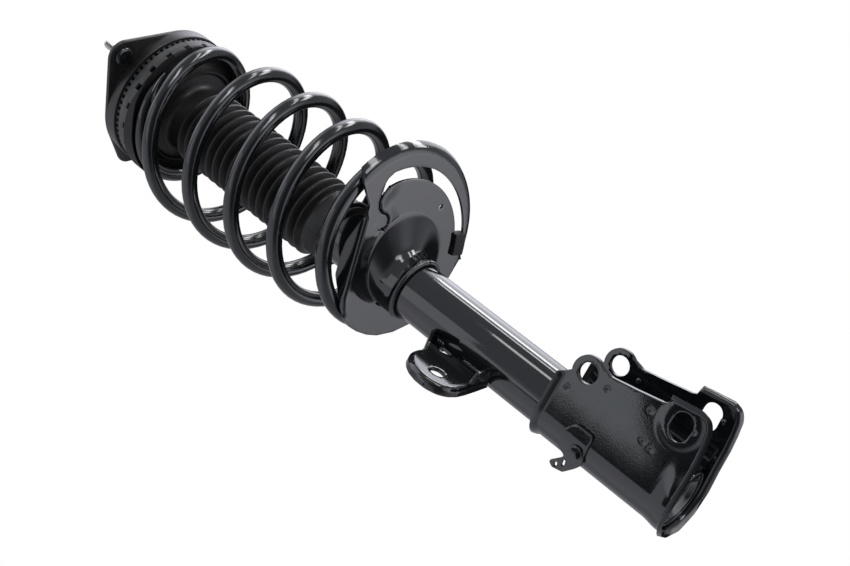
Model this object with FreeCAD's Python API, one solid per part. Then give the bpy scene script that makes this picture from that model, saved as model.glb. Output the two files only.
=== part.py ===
import FreeCAD
import Part
import math
import os

os.makedirs("parts", exist_ok=True)
V = FreeCAD.Vector

# Tower mount
PLATE_T = 4.0
CUP_R = 68.3
CUP_WALL = 3.0
CUP_DEPTH = 15.0
LOBE_R = 15.5
TAB_R = 14.0
TAB_CIRCLE_R = CUP_R - 4.6
TAB_AZ = -164.6
STUD_CIRCLE_R = CUP_R + 11.7
STUD_FIRST_AZ = -63.5
STUD_COUNT = 2
STUD_R = 4.0
STUD_KNURL_R = 5.0
STUD_HEAD_R = 9.0
STUD_HEAD_H = 3.5
STUD_REACH = 22.0
STUD_LEAD = 0.05
DOME_R = 38.0
DOME_RISE = 17.0
DOME_EYE_R = 27.0
SLEEVE_R = 12.0
SLEEVE_HALF = 14.0
RETAINER_EYE_R = 25.0
RETAINER_T = 3.0

# Clearances
SEAT_GAP = 0.3
COIL_GAP = 0.55
SLIP_GAP = 0.1
RUN_GAP = 0.05

# Steering bearing
BALL_R = 3.0
BALL_COUNT = 14
BALL_Z = -20.5
RACE_OUT_R = CUP_R - CUP_WALL - 4.3
RACE_IN_R = RACE_OUT_R - 14.0
BALL_CIRCLE_R = (RACE_IN_R + RACE_OUT_R) / 2
RACE_GAP = 2.0
RACE_T = 6.5
COVER_R = CUP_R - 1.8
COVER_T = 1.8
NOTCH_COUNT = 20
NOTCH_W = 6.0
NOTCH_H = 4.0

# Damper
ROD_R = 11.0
ROD_END_R = 7.0
ROD_TAIL_R = 6.0
TUBE_R = 25.5
TUBE_WALL = 2.4
TUBE_TOP = -246.0
TUBE_END = -637.0
STROKE = 120.0
CYL_R = 15.0
CYL_WALL = 1.6
GUIDE_T = 12.0
SPIGOT_T = 8.0
SEAL_T = 3.4
REBOUND_T = 13.0
PISTON_T = 20.0
NUT_H = 10.0
NUT_AF = 22.0
WASHER_T = 3.0
WASHER_R = 18.0
BUMP_R = 24.0

# Coil spring
WIRE_R = 7.0
COIL_R = 78.8
TOP_COIL_R = 66.0
END_COIL_R = 72.0
PITCH = 54.3
COIL_Z = -76.8
TOP_GROWTH = 33.9
TOP_COIL_Z = -44.5
FRONT_AZ = -66.65
TURN_FIRST = -0.95
TURN_LAST = 4.57
SEATED_TURN = 4.0
LEAN_TOP = 0.1
LEAN_MID = 0.082
LEAN_SIDE = -0.031
SPRING_TOP_X = -2.5
SPRING_TOP_Y = -0.9
SPRING_DRIFT_X = 0.0745
SPRING_DRIFT_Y = 0.006
BIARCS_PER_TURN = 4

# Upper seat
SPRING_OFF = math.hypot(SPRING_TOP_X, SPRING_TOP_Y)
SEAT_TOP = BALL_Z - RACE_GAP / 2 - RACE_T
SEAT_T = 1.5
SEAT_R = 69.4
SEAT_HUB_R = RACE_IN_R - 1.5
ISO_LIP_T = 1.0
TIP_COIL_R = SEAT_R - ISO_LIP_T - WIRE_R - SPRING_OFF - SEAT_GAP
PILOT_OUT_R = TIP_COIL_R - WIRE_R - SPRING_OFF - SEAT_GAP
PILOT_T = 3.0
LIP_FROM_AZ = 188.0
LIP_TO_AZ = 330.0
PILOT_DROP = 18.0

# Dust boot
BOOT_TOP = -42.0
BOOT_END = -258.0
BOOT_BORE_R = 29.3
BOOT_CREST_R = 37.0
BOOT_VALLEY_R = 31.3
BOOT_COLLAR_Z = -64.0
BOOT_SKIRT_Z = -238.0
RIBS = 17

# Lower seat
PAN_X = 29.8
PAN_Z = -315.3
PAN_LEAN_X = 0.211
PAN_LEAN_Y = -0.162
PAN_SLOPE = math.sqrt(1.0 + PAN_LEAN_X ** 2 + PAN_LEAN_Y ** 2)
PAN_R = 88.0
PAN_LIP = 10.0
LIP_FROM = -54.0
LIP_TO = 96.0
PAN_T = 3.0
PAN_FLAT_Y = -50.0
PAN_HORN_X = 57.0
PAN_HORN_SLOPE = 0.77
PAN_FAR_CUT = 65.7
PAN_FAR_AZ = 114.6
SLOT_X = 19.2
SLOT_IN_R = 66.0
SLOT_OUT_R = 77.0
SLOT_FROM = -28.0
SLOT_TO = 90.0
PLUG_FROM = 77.0
HOOK_X = 45.0
HOOK_Y = -33.0
LANCE_W = 3.0
DRAIN_X = 32.2
DRAIN_Y = 35.4
DRAIN_R = 2.6
HOOK_R = 6.5
BOWL_X = 12.0
BOWL_Y = 8.0
BOWL_R = 44.5
BOWL_MID_R = 38.0
BOWL_MID_Z = -334.0
NECK_R = 29.0
NECK_TOP = -345.0
NECK_END = -357.0
PAD_T = 3.0
PAD_IN_R = END_COIL_R - WIRE_R - 5.0
PAD_OUT_R = 80.0
PAD_LAST_AZ = 250.0

# Knuckle bracket
CLAMP_TOP = -508.0
CLAMP_T = 3.4
CLAMP_END = -636.5
LIP_T = 3.2
LIP_REACH = 5.0
LIP_DIP = 4.0
BOLT_R = 8.5
UPPER_BOLT_X = 47.0
UPPER_BOLT_DROP = 23.2
LOWER_BOLT_X = 57.4
LOWER_BOLT_DROP = 106.2
LOWER_BOLT_PLAY = 7.0
EAR_R = 14.3
COLLAR_H = 6.0
COLLAR_REACH = 3.0
HAT_T = 3.0
HAT_REACH = 40.0

# Link bracket
LINK_AZ = -105.0
LINK_T = 5.0
LINK_HOLE_R = 6.5
LINK_HOLE_OUT = 69.0
LINK_HOLE_Z = -436.0
LINK_FLANGE = 13.0
LINK_RIM = 7.0

# Hose bracket
HOSE_AZ = -111.0
HOSE_T = 2.2
HOSE_FLAP = 9.5
HOSE_TOP = CLAMP_TOP - 30.0
HOSE_END = CLAMP_TOP - 54.0
HOSE_BOLT_Z = CLAMP_TOP - 47.0


def revolved(points, angle=360.0, start=0.0):
    corners = [V(r, 0, z) for r, z in points]
    wire = Part.makePolygon(corners + [corners[0]])
    solid = Part.Face(wire).revolve(V(0, 0, 0), V(0, 0, 1), angle)
    if start:
        solid.rotate(V(0, 0, 0), V(0, 0, 1), start)
    return solid


def ring(r_in, r_out, z_low, z_high):
    return revolved([(r_in, z_low), (r_out, z_low), (r_out, z_high), (r_in, z_high)])


def disc(r, z_low, z_high, x=0.0, y=0.0):
    return Part.makeCylinder(r, z_high - z_low, V(x, y, z_low))


def box(x0, x1, y0, y1, z0, z1):
    return Part.makeBox(x1 - x0, y1 - y0, z1 - z0, V(x0, y0, z0))


def polar(r, az, z=0.0):
    a = math.radians(az)
    return V(r * math.cos(a), r * math.sin(a), z)


def prism(points, z_low, z_high):
    corners = [V(x, y, z_low) for x, y in points]
    wire = Part.makePolygon(corners + [corners[0]])
    return Part.Face(wire).extrude(V(0, 0, z_high - z_low))


def side_prism(points, y_low, y_high):
    corners = [V(x, y_low, z) for x, z in points]
    wire = Part.makePolygon(corners + [corners[0]])
    return Part.Face(wire).extrude(V(0, y_high - y_low, 0))


def smooth(x):
    x = min(max(x, 0.0), 1.0)
    return x * x * (3.0 - 2.0 * x)


def save(name, shape):
    shape = shape.removeSplitter()
    if len(shape.Solids) == 1:
        shape = shape.Solids[0]
    shape.exportStep("parts/" + name + ".step")
    print(name, len(shape.Solids), round(shape.Volume), shape.isValid())
    return shape


def stud_azimuths():
    step = 360.0 / STUD_COUNT
    return [STUD_FIRST_AZ + i * step for i in range(STUD_COUNT)]


def lobe(az, reach, corner_r):
    half = math.degrees(math.acos((CUP_R - corner_r) / reach))
    mid = polar(reach, az)
    corner = disc(corner_r, -PLATE_T, 0, mid.x, mid.y)
    outline = [
        V(0, 0, 0), polar(CUP_R, az + half), mid + polar(corner_r, az + half), mid,
        mid + polar(corner_r, az - half), polar(CUP_R, az - half),
    ]
    return corner.fuse(prism([(p.x, p.y) for p in outline], -PLATE_T, 0))


# Plate with two stud lobes and a tab, drawn into a cup with a dome in the middle
def mount_plate():
    plate = disc(CUP_R, -PLATE_T, 0)
    for az in stud_azimuths():
        plate = plate.fuse(lobe(az, STUD_CIRCLE_R - 1, LOBE_R))
    plate = plate.fuse(lobe(TAB_AZ, TAB_CIRCLE_R, TAB_R))
    wall = ring(CUP_R - CUP_WALL, CUP_R, -CUP_DEPTH, -PLATE_T)
    dome = revolved([
        (DOME_R + 4, 0), (DOME_R, DOME_RISE - 4), (DOME_R - 5, DOME_RISE),
        (DOME_EYE_R, DOME_RISE), (DOME_EYE_R, DOME_RISE - PLATE_T),
        (DOME_R - PLATE_T - 3, DOME_RISE - PLATE_T), (DOME_R - PLATE_T, DOME_RISE - 7),
        (DOME_R - PLATE_T, -PLATE_T), (DOME_R + 4, -PLATE_T),
    ])
    plate = plate.cut(disc(DOME_R + 3, -PLATE_T - 1, 1))
    plate = plate.fuse([wall, dome])
    for az in stud_azimuths():
        at = polar(STUD_CIRCLE_R, az)
        plate = plate.cut(disc(STUD_KNURL_R + SLIP_GAP, -PLATE_T - 1, 1, at.x, at.y))
    return plate


def tower_stud(az):
    stud = revolved([
        (0, -PLATE_T - STUD_HEAD_H), (STUD_HEAD_R - 1, -PLATE_T - STUD_HEAD_H),
        (STUD_HEAD_R, -PLATE_T - STUD_HEAD_H + 1), (STUD_HEAD_R, -PLATE_T),
        (STUD_KNURL_R, -PLATE_T), (STUD_KNURL_R, -1), (STUD_R, -STUD_LEAD),
        (STUD_R, STUD_REACH - 3), (STUD_R - 1.2, STUD_REACH - 1.5),
        (STUD_R - 1.2, STUD_REACH), (0, STUD_REACH),
    ])
    stud.translate(polar(STUD_CIRCLE_R, az))
    return stud


RETAINER_TOP = -PLATE_T - 6.0
RETAINER_LOW = RETAINER_TOP - RETAINER_T


def mount_retainer():
    return revolved([
        (RETAINER_EYE_R, RETAINER_LOW), (CUP_R - CUP_WALL - SLIP_GAP, RETAINER_LOW),
        (CUP_R - CUP_WALL - SLIP_GAP, -PLATE_T), (CUP_R - CUP_WALL - 3, -PLATE_T),
        (CUP_R - CUP_WALL - 3, RETAINER_TOP), (RETAINER_EYE_R, RETAINER_TOP),
    ])


# Rubber block between dome and sleeve, waisted at both ends
def mount_rubber():
    outer = DOME_R - PLATE_T - SLIP_GAP
    return revolved([
        (SLEEVE_R + SLIP_GAP, 1.5 - SLEEVE_HALF), (SLEEVE_R + 5, 1.5 - SLEEVE_HALF),
        (SLEEVE_R + 8, RETAINER_TOP + 2), (RETAINER_EYE_R + 1, RETAINER_TOP),
        (outer, RETAINER_TOP), (outer, DOME_RISE - 7.2),
        (outer - 3, DOME_RISE - PLATE_T), (DOME_EYE_R, DOME_RISE - PLATE_T),
        (SLEEVE_R + 9, DOME_RISE - 8), (SLEEVE_R + 6, SLEEVE_HALF - 1.5),
        (SLEEVE_R + SLIP_GAP, SLEEVE_HALF - 1.5),
    ])


def mount_sleeve():
    return ring(ROD_END_R + SLIP_GAP, SLEEVE_R, -SLEEVE_HALF, SLEEVE_HALF)


def washer(low):
    return ring(ROD_END_R + SLIP_GAP, WASHER_R, low, low + WASHER_T)


def hex_nut(low, height, across, bore):
    r = across / math.sqrt(3)
    corners = [(r * math.cos(math.radians(60 * i)), r * math.sin(math.radians(60 * i))) for i in range(6)]
    nut = prism(corners, low, low + height)
    crown = revolved([
        (0, low), (across / 2, low), (r + 0.2, low + 1.5), (r + 0.2, low + height - 1.5),
        (across / 2, low + height), (0, low + height),
    ])
    return nut.common(crown).cut(disc(bore, low - 1, low + height + 1))


# Ball bearing for the steering turn
RACE_UP_LOW = BALL_Z + RACE_GAP / 2
RACE_DOWN_TOP = BALL_Z - RACE_GAP / 2


def ball_track():
    return Part.makeTorus(BALL_CIRCLE_R, BALL_R + RUN_GAP, V(0, 0, BALL_Z))


def bearing_upper_race():
    body = revolved([
        (RACE_IN_R, RACE_UP_LOW), (RACE_OUT_R, RACE_UP_LOW), (RACE_OUT_R, RETAINER_LOW),
        (RACE_IN_R, RETAINER_LOW),
    ])
    return body.cut(ball_track())


def bearing_lower_race():
    low = SEAT_TOP
    body = revolved([
        (RACE_IN_R, low), (COVER_R, low), (COVER_R, -CUP_DEPTH - 3),
        (COVER_R - 1, -CUP_DEPTH - 1.2), (COVER_R - COVER_T, -CUP_DEPTH - 1.2),
        (COVER_R - COVER_T, low + 3), (RACE_OUT_R, low + 3), (RACE_OUT_R, RACE_DOWN_TOP),
        (RACE_IN_R, RACE_DOWN_TOP),
    ])
    body = body.cut(ball_track())
    for i in range(NOTCH_COUNT):
        notch = box(COVER_R - COVER_T, COVER_R + 2, -NOTCH_W / 2, NOTCH_W / 2, low - 1, low + NOTCH_H)
        notch.rotate(V(0, 0, 0), V(0, 0, 1), (i + 0.5) * 360.0 / NOTCH_COUNT)
        body = body.cut(notch)
    return body


def balls():
    out = []
    for i in range(BALL_COUNT):
        out.append(Part.makeSphere(BALL_R, polar(BALL_CIRCLE_R, i * 360.0 / BALL_COUNT, BALL_Z)))
    return Part.makeCompound(out)


def bearing_cage():
    cage = ring(BALL_CIRCLE_R - 5, BALL_CIRCLE_R + 5, BALL_Z - 0.7, BALL_Z + 0.7)
    for i in range(BALL_COUNT):
        at = polar(BALL_CIRCLE_R, i * 360.0 / BALL_COUNT)
        cage = cage.cut(disc(BALL_R + 0.2, BALL_Z - 2, BALL_Z + 2, at.x, at.y))
    return cage


def upper_spring_seat():
    low = SEAT_TOP - SEAT_T
    return revolved([
        (SEAT_HUB_R - SEAT_T, low), (SEAT_R, low), (SEAT_R, SEAT_TOP), (SEAT_HUB_R, SEAT_TOP),
        (SEAT_HUB_R, RACE_UP_LOW + 1), (SEAT_HUB_R - SEAT_T, RACE_UP_LOW + 1),
    ])


def lean_cutter(z_mid, lean_x, lean_y, x0=0.0, y0=0.0, size=400.0):
    normal = V(-lean_x, -lean_y, 1)
    half = Part.makeBox(size, size, size, V(-size / 2, -size / 2, -size))
    turn = FreeCAD.Rotation(V(0, 0, 1), normal)
    half.Placement = FreeCAD.Placement(V(x0, y0, z_mid), turn)
    return half


# Wedge of rubber that levels the leaning top coil
def upper_isolator():
    top = SEAT_TOP - SEAT_T
    deep = top - 30
    coil_top = TOP_COIL_Z + WIRE_R + SEAT_GAP
    pad = ring(PILOT_OUT_R, SEAT_R, deep, top)
    pad = pad.cut(lean_cutter(coil_top, LEAN_TOP, LEAN_SIDE, SPRING_TOP_X))
    lip = revolved([
        (SEAT_R - ISO_LIP_T, deep), (SEAT_R, deep), (SEAT_R, top), (SEAT_R - ISO_LIP_T, top),
    ], LIP_TO_AZ - LIP_FROM_AZ, LIP_FROM_AZ)
    lip = lip.cut(lean_cutter(coil_top - WIRE_R, LEAN_TOP, LEAN_SIDE, SPRING_TOP_X))
    pilot = ring(PILOT_OUT_R - PILOT_T, PILOT_OUT_R, top - PILOT_DROP, top)
    return pad.fuse([lip, pilot])


# Leaning coil whose height and radius follow the turn number
def coil_point(turn):
    az = math.radians(FRONT_AZ - 360.0 * turn)
    rise = max(0.0, 0.5 - turn)
    free = COIL_Z - PITCH * turn + TOP_GROWTH * rise * rise
    over = free - TOP_COIL_Z
    z_mid = TOP_COIL_Z + 0.5 * (over - math.sqrt(over * over + 12.0))
    x_mid = SPRING_TOP_X + SPRING_DRIFT_X * (TOP_COIL_Z - z_mid)
    y_mid = SPRING_TOP_Y + SPRING_DRIFT_Y * (TOP_COIL_Z - z_mid)
    r = COIL_R - (COIL_R - TOP_COIL_R) * (1.0 - smooth((turn + 0.4) / 0.8))
    r = r - (TOP_COIL_R - TIP_COIL_R) * (1.0 - smooth((turn + 0.7) / 0.35))
    lean = LEAN_MID + (LEAN_TOP - LEAN_MID) * (1.0 - smooth((turn + 0.25) / 1.25))
    end = smooth((turn - SEATED_TURN + 0.5) / 0.5)
    r = r + (END_COIL_R - r) * end
    x = x_mid + (SLOT_X - x_mid) * end + r * math.cos(az)
    y = y_mid * (1.0 - end) + r * math.sin(az)
    z_free = z_mid + lean * r * math.cos(az) + LEAN_SIDE * r * math.sin(az)
    z_end = pan_height(x, y) + (PAN_T + PAD_T + WIRE_R + COIL_GAP) * PAN_SLOPE
    drop = z_free - z_end
    return V(x, y, z_end + 0.5 * (drop + math.sqrt(drop * drop + 8.0)))


def pan_height(x, y):
    return PAN_Z + PAN_LEAN_X * (x - PAN_X) + PAN_LEAN_Y * y


def coil_tangent(turn):
    return (coil_point(turn + 0.002) - coil_point(turn - 0.002)).normalize()


def arc_of(start, control, end, tangent):
    chord = (end - start).normalize()
    w = chord.dot(tangent)
    mid = (start + control * (2 * w) + end) * (1.0 / (2 + 2 * w))
    return Part.Arc(start, mid, end).toShape()


def biarc(p0, t0, p1, t1):
    v = p1 - p0
    t = t0 + t1
    a = 2.0 * (1.0 - t0.dot(t1))
    b = v.dot(t)
    d = (-b + math.sqrt(b * b + a * v.dot(v))) / a
    q0 = p0 + t0 * d
    q1 = p1 - t1 * d
    joint = (q0 + q1) * 0.5
    t_joint = (q1 - q0).normalize()
    first = arc_of(p0, q0, joint, t0)
    second = arc_of(joint, q1, p1, t_joint)
    return [first, second]


def coil_spring():
    count = int(round((TURN_LAST - TURN_FIRST) * BIARCS_PER_TURN))
    step = (TURN_LAST - TURN_FIRST) / count
    turns = [TURN_FIRST + i * step for i in range(count + 1)]
    edges = []
    for a, b in zip(turns[:-1], turns[1:]):
        edges += biarc(coil_point(a), coil_tangent(a), coil_point(b), coil_tangent(b))
    path = Part.Wire(edges)
    start = coil_point(turns[0])
    section = Part.Wire([Part.Circle(start, coil_tangent(turns[0]), WIRE_R).toShape()])
    pipe = Part.BRepOffsetAPI.MakePipeShell(path)
    pipe.add(section)
    pipe.build()
    pipe.makeSolid()
    least_gap(edges)
    return pipe.shape()


def least_gap(edges):
    points = []
    for edge in edges:
        points += edge.discretize(10)[:-1]
    window = 60
    least = 1e9
    for i, p in enumerate(points):
        for q in points[i + window:]:
            least = min(least, (p - q).Length)
    print("least gap of the coil to itself", round(least - 2 * WIRE_R, 2))


def loft_of(rings):
    wires = [Part.Wire([Part.Circle(V(0, 0, z), V(0, 0, 1), r).toShape()]) for r, z in rings]
    return Part.makeLoft(wires, True, True)


def dust_boot():
    pitch = (BOOT_COLLAR_Z - BOOT_SKIRT_Z) / RIBS
    rings = [(BOOT_VALLEY_R, BOOT_COLLAR_Z)]
    for i in range(RIBS):
        z = BOOT_COLLAR_Z - i * pitch
        rings.append((BOOT_VALLEY_R, z - 0.12 * pitch))
        rings.append((BOOT_CREST_R, z - 0.42 * pitch))
        rings.append((BOOT_CREST_R, z - 0.62 * pitch))
        rings.append((BOOT_VALLEY_R, z - 0.94 * pitch))
    rings.append((BOOT_VALLEY_R, BOOT_SKIRT_Z))
    ribs = loft_of(rings)
    head = revolved([
        (0, BOOT_COLLAR_Z), (BOOT_VALLEY_R, BOOT_COLLAR_Z), (BOOT_VALLEY_R, BOOT_TOP - 8),
        (BOOT_VALLEY_R + 4, BOOT_TOP - 4), (PILOT_OUT_R - PILOT_T - SEAT_GAP, BOOT_TOP - 3),
        (PILOT_OUT_R - PILOT_T - SEAT_GAP, BOOT_TOP), (0, BOOT_TOP),
    ])
    skirt = revolved([
        (0, BOOT_END), (BOOT_VALLEY_R + 1.5, BOOT_END), (BOOT_VALLEY_R + 1.5, BOOT_END + 2),
        (BOOT_VALLEY_R, BOOT_END + 4), (BOOT_VALLEY_R, BOOT_SKIRT_Z), (0, BOOT_SKIRT_Z),
    ])
    bore = disc(BOOT_BORE_R, BOOT_END - 1, BOOT_TOP + 1)
    return ribs.fuse([head, skirt]).cut(bore)


CAP_RISE = 6.0
STOP_REST = TUBE_TOP + CAP_RISE + SEAT_GAP
BUMP_TOP = -SLEEVE_HALF - WASHER_T - SEAT_GAP


def bump_stop():
    low = STOP_REST + STROKE
    span = BUMP_TOP - low
    waist = BUMP_R - 5
    bore = ROD_R + SLIP_GAP
    return revolved([
        (bore, low), (bore + 3, low), (waist - 3, low + 0.12 * span), (waist - 3, low + 0.3 * span),
        (bore + 4, low + 0.36 * span), (waist, low + 0.45 * span), (waist, low + 0.62 * span),
        (bore + 6, low + 0.68 * span), (BUMP_R, low + 0.78 * span), (BUMP_R, BUMP_TOP),
        (bore, BUMP_TOP),
    ])


# Rod and everything that hangs on it
ROD_SHOULDER = -SLEEVE_HALF - WASHER_T
GUIDE_TOP = TUBE_TOP - 5.0
GUIDE_LOW = GUIDE_TOP - GUIDE_T
STOP_TOP = GUIDE_LOW - SPIGOT_T - 1.0
STOP_LOW = STOP_TOP - REBOUND_T
PISTON_TOP = STOP_LOW - 6.0
PISTON_LOW = PISTON_TOP - PISTON_T
TAIL_END = PISTON_LOW - NUT_H


def piston_rod():
    top = SLEEVE_HALF + WASHER_T + NUT_H + 2
    return revolved([
        (0, TAIL_END), (ROD_TAIL_R, TAIL_END), (ROD_TAIL_R, PISTON_TOP), (ROD_R, PISTON_TOP),
        (ROD_R, ROD_SHOULDER), (ROD_END_R, ROD_SHOULDER), (ROD_END_R, top - 1.2),
        (ROD_END_R - 1.2, top), (0, top),
    ])


def rebound_stop():
    return revolved([
        (ROD_R + SLIP_GAP, STOP_LOW), (CYL_R - 0.8, STOP_LOW), (CYL_R - 0.8, STOP_TOP - 2),
        (CYL_R - 2, STOP_TOP), (ROD_R + SLIP_GAP, STOP_TOP),
    ])


def piston():
    body = ring(ROD_TAIL_R + SLIP_GAP, CYL_R - 0.5, PISTON_LOW, PISTON_TOP)
    groove = ring(CYL_R - 1.2, CYL_R + 1, PISTON_LOW + 4, PISTON_TOP - 4)
    body = body.cut(groove)
    for i in range(6):
        at = polar(10.2, i * 60.0)
        body = body.cut(disc(1.2, PISTON_LOW - 1, PISTON_TOP + 1, at.x, at.y))
    return body


def piston_band():
    return ring(CYL_R - 1.1, CYL_R - RUN_GAP, PISTON_LOW + 4.1, PISTON_TOP - 4.1)


def damper_tube():
    wall_in = TUBE_R - TUBE_WALL
    return revolved([
        (wall_in, TUBE_END), (TUBE_R, TUBE_END), (TUBE_R, TUBE_TOP - 2), (TUBE_R - 2, TUBE_TOP),
        (wall_in - 3.5, TUBE_TOP), (wall_in - 3.5, TUBE_TOP - TUBE_WALL),
        (wall_in, TUBE_TOP - TUBE_WALL),
    ])


CAP_TOP = TUBE_END + 7.0


def base_cap():
    wall_in = TUBE_R - TUBE_WALL - SLIP_GAP
    return revolved([
        (0, CAP_TOP - 3.5), (wall_in - 6, CAP_TOP - 3.5), (wall_in - 3, TUBE_END),
        (wall_in, TUBE_END), (wall_in, CAP_TOP), (0, CAP_TOP),
    ])


def base_valve():
    return revolved([
        (0, CAP_TOP), (TUBE_R - TUBE_WALL - 0.4, CAP_TOP), (TUBE_R - TUBE_WALL - 0.4, CAP_TOP + 4),
        (CYL_R - SLIP_GAP, CAP_TOP + 4), (CYL_R - SLIP_GAP, CAP_TOP + 11), (5, CAP_TOP + 11),
        (5, CAP_TOP + 16), (0, CAP_TOP + 16),
    ])


def pressure_tube():
    return ring(CYL_R, CYL_R + CYL_WALL, CAP_TOP + 4, GUIDE_LOW)


def rod_guide():
    return revolved([
        (ROD_R + RUN_GAP, GUIDE_LOW - SPIGOT_T), (CYL_R - SLIP_GAP, GUIDE_LOW - SPIGOT_T),
        (CYL_R - SLIP_GAP, GUIDE_LOW), (TUBE_R - TUBE_WALL - SLIP_GAP, GUIDE_LOW),
        (TUBE_R - TUBE_WALL - SLIP_GAP, GUIDE_TOP - 3), (TUBE_R - TUBE_WALL - 3, GUIDE_TOP),
        (ROD_R + RUN_GAP, GUIDE_TOP),
    ])


def rod_seal():
    low = GUIDE_TOP
    return revolved([
        (ROD_R + RUN_GAP, low), (TUBE_R - TUBE_WALL - 3.2, low),
        (TUBE_R - TUBE_WALL - 3.8, TUBE_TOP - 0.5), (ROD_R + 2, TUBE_TOP - 0.5),
        (ROD_R + RUN_GAP, TUBE_TOP - 2),
    ])


def striker_cap():
    inner = TUBE_R + SLIP_GAP
    outer = BOOT_BORE_R - SEAT_GAP
    return revolved([
        (inner, TUBE_TOP - 14), (outer, TUBE_TOP - 14), (outer, TUBE_TOP + 3),
        (outer - 3, TUBE_TOP + CAP_RISE), (ROD_R + 1.5, TUBE_TOP + CAP_RISE), (ROD_R + 1.5, TUBE_TOP + 3),
        (TUBE_R - 6, TUBE_TOP), (TUBE_R - 2, TUBE_TOP), (inner, TUBE_TOP - 1.9),
    ])


# Pressed pan with bowl, crescent slot and hooked end
def pan_placement():
    normal = V(-PAN_LEAN_X, -PAN_LEAN_Y, 1).normalize()
    across = V(1, 0, PAN_LEAN_X).normalize()
    along = normal.cross(across)
    matrix = FreeCAD.Matrix(
        across.x, along.x, normal.x, PAN_X,
        across.y, along.y, normal.y, 0,
        across.z, along.z, normal.z, PAN_Z,
        0, 0, 0, 1)
    return FreeCAD.Placement(matrix)


def placed(shape):
    shape.Placement = pan_placement().multiply(shape.Placement)
    return shape


def sector(r_in, r_out, z_low, z_high, first, last, x=0.0):
    piece = revolved([(r_in, z_low), (r_out, z_low), (r_out, z_high), (r_in, z_high)], last - first, first)
    piece.translate(V(x, 0, 0))
    return piece


def pan_slot():
    x = SLOT_X - PAN_X
    mid_r = (SLOT_IN_R + SLOT_OUT_R) / 2
    half = (SLOT_OUT_R - SLOT_IN_R) / 2
    body = sector(SLOT_IN_R, SLOT_OUT_R, -9, 9, SLOT_FROM, SLOT_TO, x)
    start = polar(mid_r, SLOT_FROM)
    first_end = disc(half, -9, 9, x + start.x, start.y)
    hook = disc(HOOK_R, -9, 9, HOOK_X - PAN_X, HOOK_Y)
    channel = prism([
        (x + start.x - LANCE_W, start.y), (x + start.x, start.y - LANCE_W),
        (HOOK_X - PAN_X, HOOK_Y - LANCE_W / 2), (HOOK_X - PAN_X, HOOK_Y + LANCE_W / 2),
    ], -9, 9)
    return body.fuse([first_end, hook, channel])


def bowl_wire(r, x, y, z, leaning):
    circle = Part.Circle(V(0, 0, 0), V(0, 0, 1), r).toShape()
    if leaning:
        circle.translate(V(x - PAN_X, y, z))
        placed(circle)
    else:
        circle.translate(V(x, y, z))
    return Part.Wire([circle])


def bowl(inset, lift):
    rings = [
        bowl_wire(BOWL_R - inset, BOWL_X, BOWL_Y, lift + 0.01, True),
        bowl_wire(BOWL_MID_R - inset, 3, 1, BOWL_MID_Z + lift, False),
        bowl_wire(NECK_R + 3 - inset, 0, 0, NECK_TOP + lift, False),
        bowl_wire(NECK_R - inset, 0, 0, NECK_END, False),
    ]
    return Part.makeLoft(rings, True, True)


def lower_spring_seat():
    lip = sector(PAN_R - PAN_T, PAN_R, 0, PAN_LIP, LIP_FROM, LIP_TO)
    flange = placed(disc(PAN_R, 0, PAN_T).fuse(lip))
    outer = bowl(0, PAN_T)
    pan = flange.fuse(outer)
    pan = pan.cut(bowl(PAN_T, PAN_T + 3))
    pan = pan.cut(disc(TUBE_R + SLIP_GAP, NECK_END - 5, PAN_Z + 40))
    pan = pan.cut(placed(pan_slot()))
    pan = pan.cut(placed(disc(DRAIN_R, -9, 9, DRAIN_X, DRAIN_Y)))
    return pan_trim(pan)


# Straight cuts on the near and far side
def pan_trim(shape):
    horn_end = PAN_HORN_X + 2 * PAN_R
    near = prism([
        (-2 * PAN_R, PAN_FLAT_Y), (PAN_HORN_X, PAN_FLAT_Y),
        (horn_end, PAN_FLAT_Y - PAN_HORN_SLOPE * 2 * PAN_R), (horn_end, -4 * PAN_R),
        (-2 * PAN_R, -4 * PAN_R),
    ], PAN_Z - PAN_R, PAN_Z + PAN_R)
    shape = shape.cut(near)
    far = box(0, 2 * PAN_R, -2 * PAN_R, 2 * PAN_R, PAN_Z - PAN_R, PAN_Z + PAN_R)
    far.rotate(V(0, 0, 0), V(0, 0, 1), PAN_FAR_AZ)
    far.translate(polar(PAN_FAR_CUT, PAN_FAR_AZ))
    return shape.cut(far)


def lower_isolator():
    x = SLOT_X - PAN_X
    pad = sector(PAD_IN_R, PAD_OUT_R, PAN_T, PAN_T + PAD_T, SLOT_TO + 4, PAD_LAST_AZ, x)
    pad = pad.common(disc(PAN_R - PAN_T, 0, 2 * PAD_T + PAN_T))
    lip = sector(PAD_IN_R, PAD_IN_R + 2, PAN_T, PAN_T + PAD_T + 6, SLOT_TO + 4, PAD_LAST_AZ, x)
    in_r = SLOT_IN_R + SEAT_GAP
    out_r = SLOT_OUT_R - SEAT_GAP
    plug = sector(in_r, out_r, -PAD_T, PAN_T + PAD_T, PLUG_FROM, SLOT_TO - 2 * SEAT_GAP, x)
    bridge = sector(in_r, out_r, PAN_T, PAN_T + PAD_T, PLUG_FROM, SLOT_TO + 6, x)
    edge = box(-PAN_R / 2, HOOK_X - PAN_X, -PAN_R, HOOK_Y - HOOK_R + 1.6, PAN_T, PAN_T + PAD_T)
    heel = disc(HOOK_R + 1, PAN_T, PAN_T + PAD_T, HOOK_X - PAN_X, HOOK_Y)
    edge = edge.fuse(heel).common(disc(PAN_R - PAN_T, 0, 3 * PAD_T))
    return pan_trim(placed(pad.fuse([lip, plug, bridge, edge])))


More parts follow.
